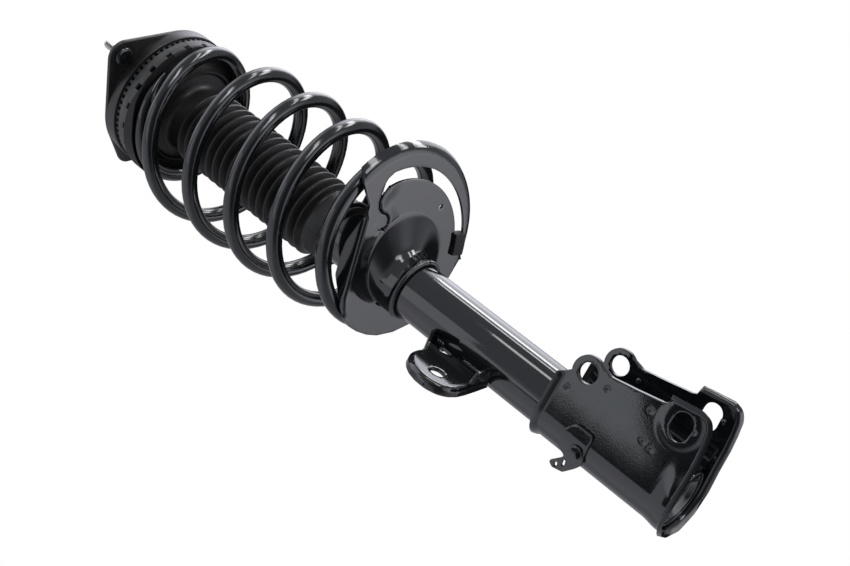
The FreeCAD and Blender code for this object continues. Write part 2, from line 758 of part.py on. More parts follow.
# Ear plate for the stabiliser link, standing on the tube
def link_bracket():
    root = TUBE_R + SEAT_GAP
    z0 = CLAMP_TOP
    outline = [
        (root - 4, z0 + 113), (root + 8, z0 + 113), (52, z0 + 99), (57, z0 + 101),
        (64, z0 + 101.5), (72, z0 + 98), (78, z0 + 92), (81.5, z0 + 84), (82, z0 + 76),
        (80.5, z0 + 67), (76.5, z0 + 60), (71, z0 + 54.5), (64, z0 + 51), (57, z0 + 50),
        (root - 4, z0 + 50),
    ]
    half = LINK_T / 2
    plate = side_prism(outline, -half, half)
    window = [
        (root + 3, z0 + 97), (root + 14, z0 + 95), (48, z0 + 90), (43, z0 + 84), (root + 12, z0 + 80),
        (root + 3, z0 + 82),
    ]
    plate = plate.cut(side_prism(window, -half - 1, half + 1))
    core = side_prism([(x - LINK_T * (x - 55) / 30, z - LINK_T * (z - z0 - 76) / 28) for x, z in outline[3:14]], -LINK_RIM - 1, 0)
    rim = side_prism(outline[3:14], -LINK_RIM, 0).cut(core)
    low_rim = box(root - 6, 58, -LINK_RIM, half, z0 + 50, z0 + 54)
    low_flange = box(root - 6, 46, -half, LINK_FLANGE, z0 + 50, z0 + 54)
    top_flange = side_prism([
        (root - 6, z0 + 113), (root + 8, z0 + 113), (50, z0 + 100), (50, z0 + 96),
        (root + 7, z0 + 109), (root - 6, z0 + 109),
    ], -half, LINK_FLANGE - 4)
    hole = Part.makeCylinder(LINK_HOLE_R, 40, V(LINK_HOLE_OUT, -20, LINK_HOLE_Z), V(0, 1, 0))
    body = plate.fuse([low_flange, top_flange, rim, low_rim]).cut(hole)
    body.rotate(V(0, 0, 0), V(0, 0, 1), LINK_AZ)
    return body.cut(disc(root, z0, z0 + 130))


# One stamping wrapped round the tube, with two bored plates
def clamp_outline():
    z0 = CLAMP_TOP
    return [
        (0, z0), (40, z0), (47, z0 - 9), (54.5, z0 - 24), (54.5, z0 - 38), (59.7, z0 - 61),
        (65.2, z0 - 87), (69.4, z0 - 89), (73.5, z0 - 114), (72, z0 - 120.6), (68, z0 - 124),
        (43, CLAMP_END), (0, CLAMP_END),
    ]


def lip_outline():
    z0 = CLAMP_TOP
    return [
        (0, CLAMP_END), (43, CLAMP_END), (68, z0 - 124), (72, z0 - 120.6), (73.5, z0 - 114),
        (69.4, z0 - 89), (73, z0 - 89), (75.6, z0 - 101.6), (77.8, z0 - 115), (77.1, z0 - 122),
        (73.8, z0 - 128), (68.9, z0 - 129.5), (45, CLAMP_END - LIP_T), (0, CLAMP_END - LIP_T),
    ]


def bolt_cut():
    z_up = CLAMP_TOP - UPPER_BOLT_DROP
    z_low = CLAMP_TOP - LOWER_BOLT_DROP
    upper = Part.makeCylinder(BOLT_R, 120, V(UPPER_BOLT_X, -60, z_up), V(0, 1, 0))
    half = LOWER_BOLT_PLAY / 2
    left = Part.makeCylinder(BOLT_R, 120, V(LOWER_BOLT_X - half, -60, z_low), V(0, 1, 0))
    right = Part.makeCylinder(BOLT_R, 120, V(LOWER_BOLT_X + half, -60, z_low), V(0, 1, 0))
    middle = box(LOWER_BOLT_X - half, LOWER_BOLT_X + half, -60, 60, z_low - BOLT_R, z_low + BOLT_R)
    return upper.fuse([left, right, middle])


def knuckle_bracket():
    inner = TUBE_R + SLIP_GAP
    outer = inner + CLAMP_T
    ear_z = CLAMP_TOP - UPPER_BOLT_DROP
    body = None
    for low, high, lip_low, lip_high in (
            (-outer, -inner, -outer - LIP_REACH, -inner), (inner, outer, inner, outer + LIP_REACH)):
        plate = side_prism(clamp_outline(), low, high)
        ear = Part.makeCylinder(EAR_R, CLAMP_T, V(UPPER_BOLT_X, low, ear_z), V(0, 1, 0))
        lip = side_prism(lip_outline(), lip_low, lip_high)
        side = plate.fuse([ear, lip])
        body = side if body is None else body.fuse(side)
    wrap = revolved([
        (inner, CLAMP_END), (outer, CLAMP_END), (outer, CLAMP_TOP), (inner, CLAMP_TOP),
    ], 180.0, 90.0)
    wrap_lip = revolved([
        (inner, CLAMP_END - LIP_T), (outer + LIP_REACH, CLAMP_END - LIP_T),
        (outer + LIP_REACH, CLAMP_END), (outer, CLAMP_END + 2 * LIP_T), (inner, CLAMP_END),
    ], 180.0, 90.0)
    dip = revolved([
        (inner, CLAMP_END - LIP_T - LIP_DIP), (outer + LIP_REACH, CLAMP_END - LIP_T - LIP_DIP),
        (outer + LIP_REACH, CLAMP_END), (inner, CLAMP_END),
    ], 60.0, 90.0)
    flare = [
        (inner, CLAMP_TOP - COLLAR_H), (outer, CLAMP_TOP - COLLAR_H),
        (outer + COLLAR_REACH, CLAMP_TOP), (inner, CLAMP_TOP),
    ]
    collar = revolved(flare, 180.0, 90.0)
    edge = Part.Face(Part.makePolygon([V(0, y, z) for y, z in flare + flare[:1]]))
    near = edge.extrude(V(38, 0, 0))
    far = near.mirror(V(0, 0, 0), V(0, 1, 0))
    return body.fuse([wrap, wrap_lip, dip, collar, near, far]).cut(bolt_cut())


def bracket_reinforcement():
    inner = TUBE_R + SEAT_GAP
    face = TUBE_R - SEAT_GAP + SLIP_GAP
    low = CLAMP_END + 4
    high = CLAMP_TOP - 34
    web = ring(inner, inner + HAT_T, low, high)
    web = web.common(box(4, 60, -face, face, low - 1, high + 1))
    legs = box(14, HAT_REACH, -face, -face + HAT_T, low, high)
    legs = legs.fuse(box(14, HAT_REACH, face - HAT_T, face, low, high))
    legs = legs.cut(disc(inner, low - 1, high + 1))
    return web.fuse(legs).cut(bolt_cut())


# Strap for the brake hose, laid over the clamp
def hose_bracket():
    inner = TUBE_R + SLIP_GAP + CLAMP_T + SEAT_GAP
    outer = inner + HOSE_T
    z_top = HOSE_TOP
    z_end = HOSE_END
    strap = revolved([
        (inner, z_end), (outer, z_end), (outer, z_top), (inner, z_top),
    ], -90.0 - HOSE_AZ, HOSE_AZ)
    flap = side_prism([
        (0, z_end), (HOSE_FLAP, z_end), (HOSE_FLAP, z_top - HOSE_FLAP), (0, z_top),
    ], -outer, -inner)
    tab = side_prism([
        (0, z_top), (-8, z_top), (-12, z_top - 9), (-27, z_top + 3), (-30, z_top - 3),
        (-27, z_top - 12), (-9, z_end - 1), (0, z_end),
    ], -outer, -inner)
    slots = box(-22, -15, -outer - 1, -inner + 1, z_top - 11, z_top - 9)
    slots = slots.fuse(box(-27.5, -22.5, -outer - 1, -inner + 1, z_top - 5, z_top - 3))
    tab = tab.cut(slots)
    tab.rotate(V(0, 0, 0), V(0, 0, 1), HOSE_AZ + 90.0)
    body = strap.fuse([flap, tab])
    return body.cut(hose_bolt_cut(STUD_R + SLIP_GAP))


def hose_bolt_cut(radius):
    axis = polar(1, HOSE_AZ)
    start = polar(TUBE_R, HOSE_AZ, HOSE_BOLT_Z)
    return Part.makeCylinder(radius, 20, start, axis)


def hose_bracket_bolt():
    foot = TUBE_R + SLIP_GAP + CLAMP_T + SEAT_GAP
    head = foot + HOSE_T
    bolt = revolved([
        (0, foot), (STUD_R - 0.4, foot), (STUD_R - 0.4, head), (6.5, head), (6.5, head + 1.2),
        (4.8, head + 1.6), (4.8, head + 5), (4, head + 5.6), (0, head + 5.6),
    ])
    bolt.rotate(V(0, 0, 0), V(0, 1, 0), 90)
    bolt.rotate(V(0, 0, 0), V(0, 0, 1), HOSE_AZ)
    bolt.translate(V(0, 0, HOSE_BOLT_Z))
    return bolt


save("mount_plate", mount_plate())
for letter, azimuth in zip("ab", stud_azimuths()):
    save("tower_stud_" + letter, tower_stud(azimuth))
save("mount_retainer", mount_retainer())
save("mount_rubber", mount_rubber())
save("mount_sleeve", mount_sleeve())
save("rod_washer_upper", washer(SLEEVE_HALF))
save("rod_washer_lower", washer(-SLEEVE_HALF - WASHER_T))
save("rod_nut", hex_nut(SLEEVE_HALF + WASHER_T, NUT_H, NUT_AF, ROD_END_R + SLIP_GAP))
save("bearing_upper_race", bearing_upper_race())
save("bearing_balls", balls())
save("bearing_cage", bearing_cage())
save("bearing_lower_race", bearing_lower_race())
save("upper_spring_seat", upper_spring_seat())
save("upper_isolator", upper_isolator())
save("coil_spring", coil_spring())
save("dust_boot", dust_boot())
save("bump_stop", bump_stop())
save("piston_rod", piston_rod())
save("rebound_stop", rebound_stop())
save("piston", piston())
save("piston_band", piston_band())
save("piston_nut", hex_nut(TAIL_END, NUT_H, 19.0, ROD_TAIL_R + SLIP_GAP))
save("damper_tube", damper_tube())
save("base_cap", base_cap())
save("base_valve", base_valve())
save("pressure_tube", pressure_tube())
save("rod_guide", rod_guide())
save("rod_seal", rod_seal())
save("striker_cap", striker_cap())
save("lower_spring_seat", lower_spring_seat())
save("lower_isolator", lower_isolator())
save("link_bracket", link_bracket())
save("knuckle_bracket", knuckle_bracket())
save("bracket_reinforcement", bracket_reinforcement())
save("hose_bracket", hose_bracket())
save("hose_bracket_bolt", hose_bracket_bolt())
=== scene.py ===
import math

import bmesh
import bpy
import numpy as np
from mathutils import Matrix, Vector
from mathutils.geometry import delaunay_2d_cdt


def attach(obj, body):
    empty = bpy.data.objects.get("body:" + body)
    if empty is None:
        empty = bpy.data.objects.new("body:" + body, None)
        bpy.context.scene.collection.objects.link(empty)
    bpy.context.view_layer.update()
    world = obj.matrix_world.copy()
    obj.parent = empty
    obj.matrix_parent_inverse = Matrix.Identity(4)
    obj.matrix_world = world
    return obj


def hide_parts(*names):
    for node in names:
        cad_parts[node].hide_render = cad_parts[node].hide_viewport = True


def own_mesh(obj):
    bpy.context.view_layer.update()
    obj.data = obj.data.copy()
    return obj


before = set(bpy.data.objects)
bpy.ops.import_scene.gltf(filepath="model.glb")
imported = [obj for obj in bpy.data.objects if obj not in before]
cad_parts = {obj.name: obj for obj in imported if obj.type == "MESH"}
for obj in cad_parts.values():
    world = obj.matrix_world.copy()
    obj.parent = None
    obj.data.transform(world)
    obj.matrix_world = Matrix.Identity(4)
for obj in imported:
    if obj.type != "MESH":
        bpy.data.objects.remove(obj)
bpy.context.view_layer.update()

scene = bpy.context.scene
scene.view_settings.view_transform = "Standard"
MM = 0.001


# Shader maths
class Value:
    """A socket in a finish, so that its maths reads as plain sums"""

    def __init__(self, graph, socket):
        self.graph = graph
        self.socket = socket

    def maths(self, operation, first, second):
        return self.graph.node("Math", {"operation": operation}, {0: first, 1: second})

    def __add__(self, other):
        return self.maths("ADD", self, other)

    def __radd__(self, other):
        return self.maths("ADD", other, self)

    def __sub__(self, other):
        return self.maths("SUBTRACT", self, other)

    def __rsub__(self, other):
        return self.maths("SUBTRACT", other, self)

    def __mul__(self, other):
        return self.maths("MULTIPLY", self, other)

    def __rmul__(self, other):
        return self.maths("MULTIPLY", other, self)


class Graph:
    """A node tree; every node in it comes from node()"""

    def __init__(self, tree):
        self.tree = tree

    def node(self, kind, settings, inputs, output=0):
        made = self.tree.nodes.new("ShaderNode" + kind)
        for key, value in settings.items():
            setattr(made, key, value)
        for key, value in inputs.items():
            self.feed(made.inputs[key], value)
        return Value(self, made.outputs[output])

    def feed(self, socket, value):
        if isinstance(value, Value):
            self.tree.links.new(value.socket, socket)
        else:
            socket.default_value = value

    def step(self, value, low, high, out_low=0.0, out_high=1.0):
        return self.node("MapRange", {"interpolation_type": "SMOOTHSTEP"}, {
            "Value": value, "From Min": low, "From Max": high, "To Min": out_low, "To Max": out_high})


class Finish(Graph):
    """A material built from nodes around one Principled shader"""

    def __init__(self, name):
        self.material = bpy.data.materials.new(name)
        self.material.use_nodes = True
        super().__init__(self.material.node_tree)
        self.shader = self.tree.nodes["Principled BSDF"]
        self.place = self.node("TexCoord", {}, {}, "Object")

    def set(self, **inputs):
        for key, value in inputs.items():
            self.feed(self.shader.inputs[key.replace("_", " ")], value)

    def noise(self, scale, detail=2.0, rough=0.5, at=None):
        inputs = {"Vector": at or self.place, "Scale": scale, "Detail": detail, "Roughness": rough}
        return self.node("TexNoise", {}, inputs)

    def cells(self, scale):
        return self.node("TexVoronoi", {}, {"Vector": self.place, "Scale": scale})

    def stretched(self, x, y, z):
        return self.node("Mapping", {}, {"Vector": self.place, "Scale": (x, y, z)})

    def blend(self, amount, first, second):
        return self.node("Mix", {"data_type": "RGBA"}, {0: amount, 6: first, 7: second}, 2)

    def bump(self, height, distance, strength=1.0, under=None):
        inputs = {"Height": height, "Distance": distance, "Strength": strength}
        if under:
            inputs["Normal"] = under
        return self.node("Bump", {}, inputs)


def shade(level, warm=0.0):
    return (level * (1 + warm), level, level * (1 - warm), 1)


PAINT_LEVEL = 0.008
DUST = 0.35


# Gloss black paint with orange peel, a few dust nibs and slightly uneven gloss
def paint(name, rough, peel, wave, ior=1.62):
    finish = Finish(name)
    cloud = finish.noise(14.0, 3.0)
    film = finish.noise(90.0, 4.0, 0.6)
    nib = finish.step(finish.cells(420.0), 0.06, 0.1, 1.0, 0.0) * finish.step(finish.noise(160.0), 0.62, 0.7)
    tone = finish.blend(cloud, shade(PAINT_LEVEL * 0.8, -0.28), shade(PAINT_LEVEL * 1.25, -0.22))
    tone = finish.blend(nib * DUST, tone, shade(0.12))
    skin = finish.noise(720.0, 1.0)
    sag = finish.bump(finish.noise(38.0, 1.0), wave)
    finish.set(
        Base_Color=tone,
        Roughness=rough + (film - 0.5) * 0.07 + nib * 0.2 + (cloud - 0.5) * 0.05,
        IOR=ior,
        Normal=finish.bump(skin + nib * 0.6, peel, 1.0, sag))
    return finish.material


# Satin dip coat on the mount pressing, greyer where it is thin
def dip_coat(name, level, rough):
    finish = Finish(name)
    cloud = finish.noise(22.0, 5.0, 0.6)
    grain = finish.noise(900.0, 3.0, 0.7)
    runs = finish.noise(1.0, 3.0, 0.5, finish.stretched(60, 60, 14))
    thin = finish.step(cloud + runs * 0.4, 0.5, 0.95)
    finish.set(
        Base_Color=finish.blend(thin, shade(level), shade(level * 2.2, -0.03)),
        Roughness=rough + (cloud - 0.5) * 0.2 + (grain - 0.5) * 0.08,
        IOR=1.5,
        Normal=finish.bump(grain, 0.00004, 0.8))
    return finish.material


# Vulcanised rubber: matt, faintly mottled, with fine mould texture
def rubber(name, level, rough, bloom=0.5):
    finish = Finish(name)
    cloud = finish.noise(35.0, 5.0, 0.65)
    pore = finish.noise(1500.0, 2.0, 0.6)
    haze = finish.step(cloud, 0.5, 0.75) * bloom
    rings = finish.noise(1.0, 2.0, 0.5, finish.stretched(6, 6, 260))
    finish.set(
        Base_Color=finish.blend(haze, shade(level), shade(level * 2.4, -0.02)),
        Roughness=rough + haze * 0.12 + (pore - 0.5) * 0.1,
        IOR=1.42,
        Normal=finish.bump(pore * 0.5 + rings * 0.4 + cloud * 0.5, 0.00007, 0.8))
    return finish.material


# Glass-filled nylon with a spark-eroded skin and paler flow lines
def nylon(name, level, rough):
    finish = Finish(name)
    cloud = finish.noise(40.0, 4.0, 0.6)
    grain = finish.noise(1300.0, 3.0, 0.7)
    flow = finish.noise(1.0, 4.0, 0.6, finish.stretched(50, 50, 240))
    pale = finish.step(flow + cloud * 0.4, 0.55, 0.95)
    finish.set(
        Base_Color=finish.blend(pale, shade(level, -0.02), shade(level * 1.9, -0.03)),
        Roughness=rough + (cloud - 0.5) * 0.2,
        IOR=1.5,
        Normal=finish.bump(grain, 0.00005, 0.9))
    return finish.material


# Plated or bare metal with drawing lines along the part
def metal(name, colour, rough, stain=0.35):
    finish = Finish(name)
    line = finish.noise(1.0, 4.0, 0.7, finish.stretched(300, 300, 40))
    cloud = finish.noise(45.0, 5.0, 0.65)
    spot = finish.step(finish.noise(190.0, 4.0), 0.58, 0.72)
    dull = finish.step(cloud, 0.42, 0.7) * stain
    dark = tuple(c * 0.62 for c in colour) + (1,)
    finish.set(
        Base_Color=finish.blend(dull + spot * 0.15, colour + (1,), dark),
        Metallic=1.0 - dull * 0.15,
        Roughness=rough + dull * 0.25 + (line - 0.5) * 0.16,
        Normal=finish.bump(line + cloud * 0.3, 0.00003, 0.8))
    return finish.material


# Closed-cell foam with open pores on its skin
def cell_foam(name, colour):
    finish = Finish(name)
    cells = finish.cells(900.0)
    cloud = finish.noise(60.0, 4.0)
    finish.set(
        Base_Color=finish.blend(cloud, tuple(c * 0.75 for c in colour) + (1,), colour + (1,)),
        Roughness=0.75 + (cells - 0.3) * 0.2,
        Normal=finish.bump(cells, 0.0002, 0.9))
    return finish.material


TUBE_BLACK = paint("tube_gloss_black", 0.07, peel=0.000008, wave=0.00003)
CLAMP_BLACK = paint("bracket_gloss_black", 0.07, peel=0.000012, wave=0.00005)
SEAT_BLACK = paint("seat_gloss_black", 0.10, peel=0.00002, wave=0.00008)
COIL_BLACK = paint("spring_powder_black", 0.13, peel=0.00002, wave=0.00004, ior=1.58)
MOUNT_BLACK = dip_coat("mount_dip_black", 0.012, 0.34)
BEARING_GREY = nylon("bearing_nylon", 0.045, 0.48)
PAD_RUBBER = rubber("pad_rubber", 0.007, 0.66)
BOOT_RUBBER = rubber("boot_rubber", 0.010, 0.40, bloom=0.35)
FOAM = cell_foam("stop_foam", (0.55, 0.52, 0.42))
ZINC = metal("zinc_plate", (0.66, 0.66, 0.64), 0.30)
STEEL = metal("bare_steel", (0.45, 0.45, 0.45), 0.34)
CHROME = metal("hard_chrome", (0.60, 0.61, 0.62), 0.09, stain=0.1)
DARK_NYLON = nylon("dark_nylon", 0.016, 0.45)

BY_SLOT = {
    "mount_paint": MOUNT_BLACK, "seat_paint": SEAT_BLACK, "tube_paint": TUBE_BLACK,
    "bracket_paint": CLAMP_BLACK, "spring_coat": COIL_BLACK, "zinc": ZINC, "steel": STEEL,
    "chrome": CHROME, "rubber": PAD_RUBBER, "boot_rubber": BOOT_RUBBER, "foam": FOAM,
    "plastic_dark": DARK_NYLON, "plastic_grey": BEARING_GREY,
}


# Mesh helpers, all in millimetres
def smoothed(mesh, crease):
    mesh.shade_smooth()
    mesh.set_sharp_from_angle(angle=math.radians(crease))


def as_piece(name, mesh, finish, body, node=None, crease=38):
    smoothed(mesh, crease)
    mesh.materials.clear()
    mesh.materials.append(finish)
    piece = bpy.data.objects.new(name, mesh)
    scene.collection.objects.link(piece)
    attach(piece, body)
    if node:
        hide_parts(node)
    return piece


def cleaned(mesh):
    """Joins doubled points and turns the faces outward"""
    work = bmesh.new()
    work.from_mesh(mesh)
    bmesh.ops.remove_doubles(work, verts=work.verts, dist=0.000002)
    bmesh.ops.recalc_face_normals(work, faces=work.faces)
    work.to_mesh(mesh)
    work.free()
    return mesh


def mesh_of(name, points, faces, clean=True):
    mesh = bpy.data.meshes.new(name)
    mesh.from_pydata([(p[0] * MM, p[1] * MM, p[2] * MM) for p in points], [], faces)
    return cleaned(mesh) if clean else mesh


def edged(piece, width, angle, segments, crease):
    """Rounds the edges sharper than an angle and applies the piece's modifiers"""
    rounding = piece.modifiers.new("edge", "BEVEL")
    rounding.width = width * MM
    rounding.segments = segments
    rounding.limit_method = "ANGLE"
    rounding.angle_limit = math.radians(angle)
    bpy.context.view_layer.update()
    graph = bpy.context.evaluated_depsgraph_get()
    mesh = bpy.data.meshes.new_from_object(piece.evaluated_get(graph))
    old = piece.data
    piece.modifiers.clear()
    piece.data = mesh
    bpy.data.meshes.remove(old)
    smoothed(mesh, crease)
    return piece


def gauged(piece, thick, side, *edge):
    """Gives a formed sheet its thickness and rounded edges"""
    shell = piece.modifiers.new("gauge", "SOLIDIFY")
    shell.thickness = thick * MM
    shell.offset = side
    return edged(piece, *edge)


def ss(x, low=0.0, high=1.0):
    """Smooth step from 0 to 1"""
    x = np.clip((np.asarray(x, float) - low) / (high - low), 0.0, 1.0)
    return x * x * (3 - 2 * x)


def polar(r, az, z=0.0):
    a = math.radians(az)
    return (r * math.cos(a), r * math.sin(a), z)


def arc(cx, cy, r, first, last, count):
    angles = np.radians(np.linspace(first, last, count))
    return [(cx + r * math.cos(a), cy + r * math.sin(a)) for a in angles]


def turns(count):
    """Even angles round a circle"""
    return [2 * math.pi * k / count for k in range(count)]


def raised(by, points):
    return [(x, by + z) for x, z in points]


def grid_faces(rows, columns, base=0, looped=False):
    """Quads between neighbouring closed rows; a looped grid joins its last row to its first"""
    faces = []
    for i in range(rows if looped else rows - 1):
        here, beside = base + i * columns, base + (i + 1) % rows * columns
        for k in range(columns):
            k2 = (k + 1) % columns
            faces.append((here + k, here + k2, beside + k2, beside + k))
    return faces


def as_faces(tris, base=0):
    return [tuple(int(i) + base for i in t) for t in tris]


def hoop(at, along, lean, r, sides):
    """Ring of points square to a path"""
    n = (lean - along * lean.dot(along)).normalized()
    b = along.cross(n)
    return [at + (n * math.cos(a) + b * math.sin(a)) * r for a in turns(sides)]


def rounded(start, corner, end, steps):
    """Points on a curve that cuts a corner"""
    shares = [k / steps for k in range(steps + 1)]
    return [start * (1 - t) ** 2 + corner * (2 * t * (1 - t)) + end * t * t for t in shares]


def softened(points, radius, steps=4, closed=True):
    """Rounds the corners of a flat outline"""
    radii = radius if isinstance(radius, (list, tuple)) else [radius] * len(points)
    out = []
    n = len(points)
    for i in range(n):
        here = Vector(points[i]).to_2d()
        if not closed and i in (0, n - 1):
            out.append(tuple(here))
            continue
        before = Vector(points[i - 1]).to_2d() - here
        after = Vector(points[(i + 1) % n]).to_2d() - here
        if before.length < 1e-6 or after.length < 1e-6:
            continue
        turn = math.pi - before.angle(after)
        reach = min(radii[i] * math.tan(turn / 2), 0.48 * before.length, 0.48 * after.length)
        if turn < 0.09 or reach < 0.01:
            out.append(tuple(here))
            continue
        start, end = here + before.normalized() * reach, here + after.normalized() * reach
        out += [tuple(p) for p in rounded(start, here, end, steps)]
    return out


def turned_mesh(name, profile, steps):
    points = []
    for k in range(steps):
        points += [polar(r, 360.0 * k / steps, z) for r, z in profile]
    return mesh_of(name, points, grid_faces(steps, len(profile), looped=True))


def turned(name, profile, finish, body, node=None, steps=144):
    return as_piece(name, turned_mesh(name, profile, steps), finish, body, node)


def sheet(outline, holes, spacing, extra=()):
    """Flat blank cut to an outline with holes, filled with even triangles"""
    loops = [list(outline)] + [list(h) for h in holes]
    verts, edges = [], []
    for loop in loops:
        start = len(verts)
        verts += loop
        edges += [(start + i, start + (i + 1) % len(loop)) for i in range(len(loop))]
    rim = np.array(verts)
    low, high = rim.min(0), rim.max(0)
    rows = []
    for j, y in enumerate(np.arange(low[1], high[1], spacing * 0.87)):
        xs = np.arange(low[0] + (j % 2) * spacing / 2, high[0], spacing)
        rows.append(np.stack([xs, np.full(len(xs), y)], 1))
    inner = np.concatenate(rows + ([np.array(extra)] if len(extra) else []))
    inner = inner[in_loops(inner, loops)]
    inner = inner[distance_to_loops(inner, loops) > 0.55 * spacing]
    if len(extra):
        wanted = np.array(extra)
        gap = np.min(np.linalg.norm(inner[:, None] - wanted[None], axis=2), axis=1)
        inner = inner[(gap > 0.45 * spacing) | (gap < 1e-6)]
    verts = [Vector(p) for p in rim] + [Vector(p) for p in inner]
    flat, _, tris, _, _, _ = delaunay_2d_cdt(verts, edges, [], 0, 1e-5)
    points = np.array([(p.x, p.y) for p in flat])
    tris = np.array([t for t in tris if len(t) == 3])
    tris = tris[in_loops(points[tris].mean(1), loops)]
    return points, tris


def in_loops(points, loops):
    """True inside the first loop and outside the others"""
    inside = np.zeros(len(points), int)
    x, y = points[:, :1], points[:, 1:]
    for loop in loops:
        a = np.array(loop)
        b = np.roll(a, -1, 0)
        crosses = (a[:, 1] > y) != (b[:, 1] > y)
        rise = np.where(b[:, 1] == a[:, 1], 1e-9, b[:, 1] - a[:, 1])
        at = a[:, 0] + (y - a[:, 1]) * (b[:, 0] - a[:, 0]) / rise
        inside += (crosses & (x < at)).sum(1)
    return inside % 2 == 1


def distance_to_loops(points, loops):
    best = np.full(len(points), 1e9)
    for loop in loops:
        d = nearest(points, np.array(loop + loop[:1]))[0]
        best = np.minimum(best, np.abs(d))
    return best


def nearest(points, line):
    """Signed distance to a line, its foot and outward direction; outside is on the line's left"""
    a, b = line[:-1], line[1:]
    step = b - a
    length2 = (step ** 2).sum(1)
    away = points[:, None] - a[None]
    along = (away * step).sum(2) / length2
    t = np.clip(along, 0, 1)
    foot = a[None] + t[..., None] * step[None]
    gap = points[:, None] - foot
    dist = np.linalg.norm(gap, axis=2)
    pick = dist.argmin(1)
    rows = np.arange(len(points))
    past = (along[:, 0] < 0) & (pick == 0) | (along[:, -1] > 1) & (pick == len(a) - 1)
    foot, gap, dist = foot[rows, pick], gap[rows, pick], dist[rows, pick]
    along = step[pick] / np.sqrt(length2[pick])[:, None]
    out = np.stack([-along[:, 1], along[:, 0]], 1)
    side = np.sign((gap * out).sum(1))
    straight = gap / np.maximum(dist, 1e-9)[:, None] * side[:, None]
    direction = np.where(dist[:, None] > 1e-4, straight, out)
    return np.where(past, -dist, dist * side), foot, direction


def folded(points, line, radius, angle):
    """Folds what lies outside the line up over a radius; gives the flat place and the lift"""
    far, foot, out = nearest(points, line)
    full = math.radians(angle)
    swing = np.clip(far / radius, 0, full)
    rest = np.maximum(far - radius * full, 0)
    along = radius * np.sin(swing) + rest * math.cos(full)
    lift = radius * (1 - np.cos(swing)) + rest * math.sin(full)
    moved = np.where(far[:, None] > 0, foot + out * along[:, None], points)
    return moved, np.where(far > 0, lift, 0.0)


def fold_points(line, radius, angle, reach):
    """Rows of points beside a fold line, so that its bend is even"""
    spacing, before, rows_in_bend = 1.3, 0.9, 5
    line = np.array(line)
    length = np.linalg.norm(np.diff(line, axis=0), axis=1)
    total = np.concatenate([[0], np.cumsum(length)])
    marks = np.arange(0, total[-1], spacing)
    x = np.interp(marks, total, line[:, 0])
    y = np.interp(marks, total, line[:, 1])
    dx, dy = np.gradient(x), np.gradient(y)
    size = np.hypot(dx, dy)
    out = np.stack([-dy / size, dx / size], 1)
    bend = np.linspace(0, radius * math.radians(angle), rows_in_bend)
    rows = [np.stack([x, y], 1) + out * off for off in (-before, *bend, reach)]
    return [tuple(p) for p in np.concatenate(rows)]


def moved_out(line, by):
    """The line moved to its right"""
    line = np.array(line)
    step = np.gradient(line, axis=0)
    step /= np.linalg.norm(step, axis=1)[:, None]
    return [tuple(p) for p in line + np.stack([step[:, 1], -step[:, 0]], 1) * by]


def pressed(name, points, tris, thick, node, edge):
    """Small bracket of formed sheet"""
    mesh = mesh_of(name, points, as_faces(tris), False)
    piece = as_piece(name, mesh, CLAMP_BLACK, "strut_tube", node, 40)
    return gauged(piece, thick, 0.0, edge, 50, 2, 40)


def cut_plate(name, outline, holes, low, high, finish, body, node, edge, place=None):
    """Flat plate from a rounded outline, with both rims broken"""
    curve = bpy.data.curves.new(name, "CURVE")
    curve.dimensions = "2D"
    curve.fill_mode = "BOTH"
    curve.extrude = ((high - low) / 2 - edge) * MM
    curve.bevel_depth = edge * MM
    curve.bevel_resolution = 2
    curve.offset = -edge * MM
    for loop in [outline] + list(holes):
        line = curve.splines.new("POLY")
        line.points.add(len(loop) - 1)
        for point, (x, y) in zip(line.points, loop):
            point.co = (x * MM, y * MM, 0, 1)
        line.use_cyclic_u = True
    shape = bpy.data.objects.new(name + "_line", curve)
    scene.collection.objects.link(shape)
    bpy.context.view_layer.update()
    mesh = bpy.data.meshes.new_from_object(shape.evaluated_get(bpy.context.evaluated_depsgraph_get()))
    bpy.data.objects.remove(shape)
    bpy.data.curves.remove(curve)
    mesh.transform(Matrix.Translation((0, 0, (high + low) / 2 * MM)))
    if place:
        mesh.transform(place)
    cleaned(mesh)
    mesh.name = name
    return as_piece(name, mesh, finish, body, node, 30)


def weld(name, path, radius, finish, ripple):
    """Round bead along a path, rippled at the welder's pace"""
    pace, sides, lean = 1.6, 12, Vector((0.13, 0.21, 0.97))
    path = [Vector(p) for p in path]
    points = []
    run = 0.0
    for i, here in enumerate(path):
        ahead = path[min(i + 1, len(path) - 1)] - path[max(i - 1, 0)]
        run += (here - path[i - 1]).length if i else 0.0
        from_end = min(i, len(path) - 1 - i)
        taper = 1.0 if from_end > 1 else 0.35 + 0.3 * from_end
        r = radius * (1 + ripple * abs(math.sin(math.pi * run / pace))) * taper
        points += hoop(here, ahead.normalized(), lean, r, sides)
    faces = grid_faces(len(path), sides)
    faces.append(tuple(range(sides)))
    faces.append(tuple((len(path) - 1) * sides + k for k in range(sides)))
    return as_piece(name, mesh_of(name, points, faces), finish, "strut_tube")


# Tower mount: plate with two stud lobes and a tab, drawn cup and dome
CUP_R = 68.3
CUP_END = -14.6
PLATE_T = 4.0
STUD_AT_R = 80.0
STUDS = (-63.5, 116.5)
STUD_CORNER = 15.5
TAB_AZ, TAB_AT_R, TAB_CORNER = -164.6, 63.7, 14.0


def lobe_reach(off, reach, corner):
    """How far a tangent lobe goes at an angle from its middle"""
    half = math.acos((CUP_R - corner) / reach)
    off = abs(math.atan2(math.sin(off), math.cos(off)))
    tip = math.atan2(corner * math.sin(half), reach + corner * math.cos(half))
    if off < tip:
        return reach * math.cos(off) + math.sqrt(corner ** 2 - (reach * math.sin(off)) ** 2)
    if off < half:
        return CUP_R / math.cos(half - off)
    return CUP_R


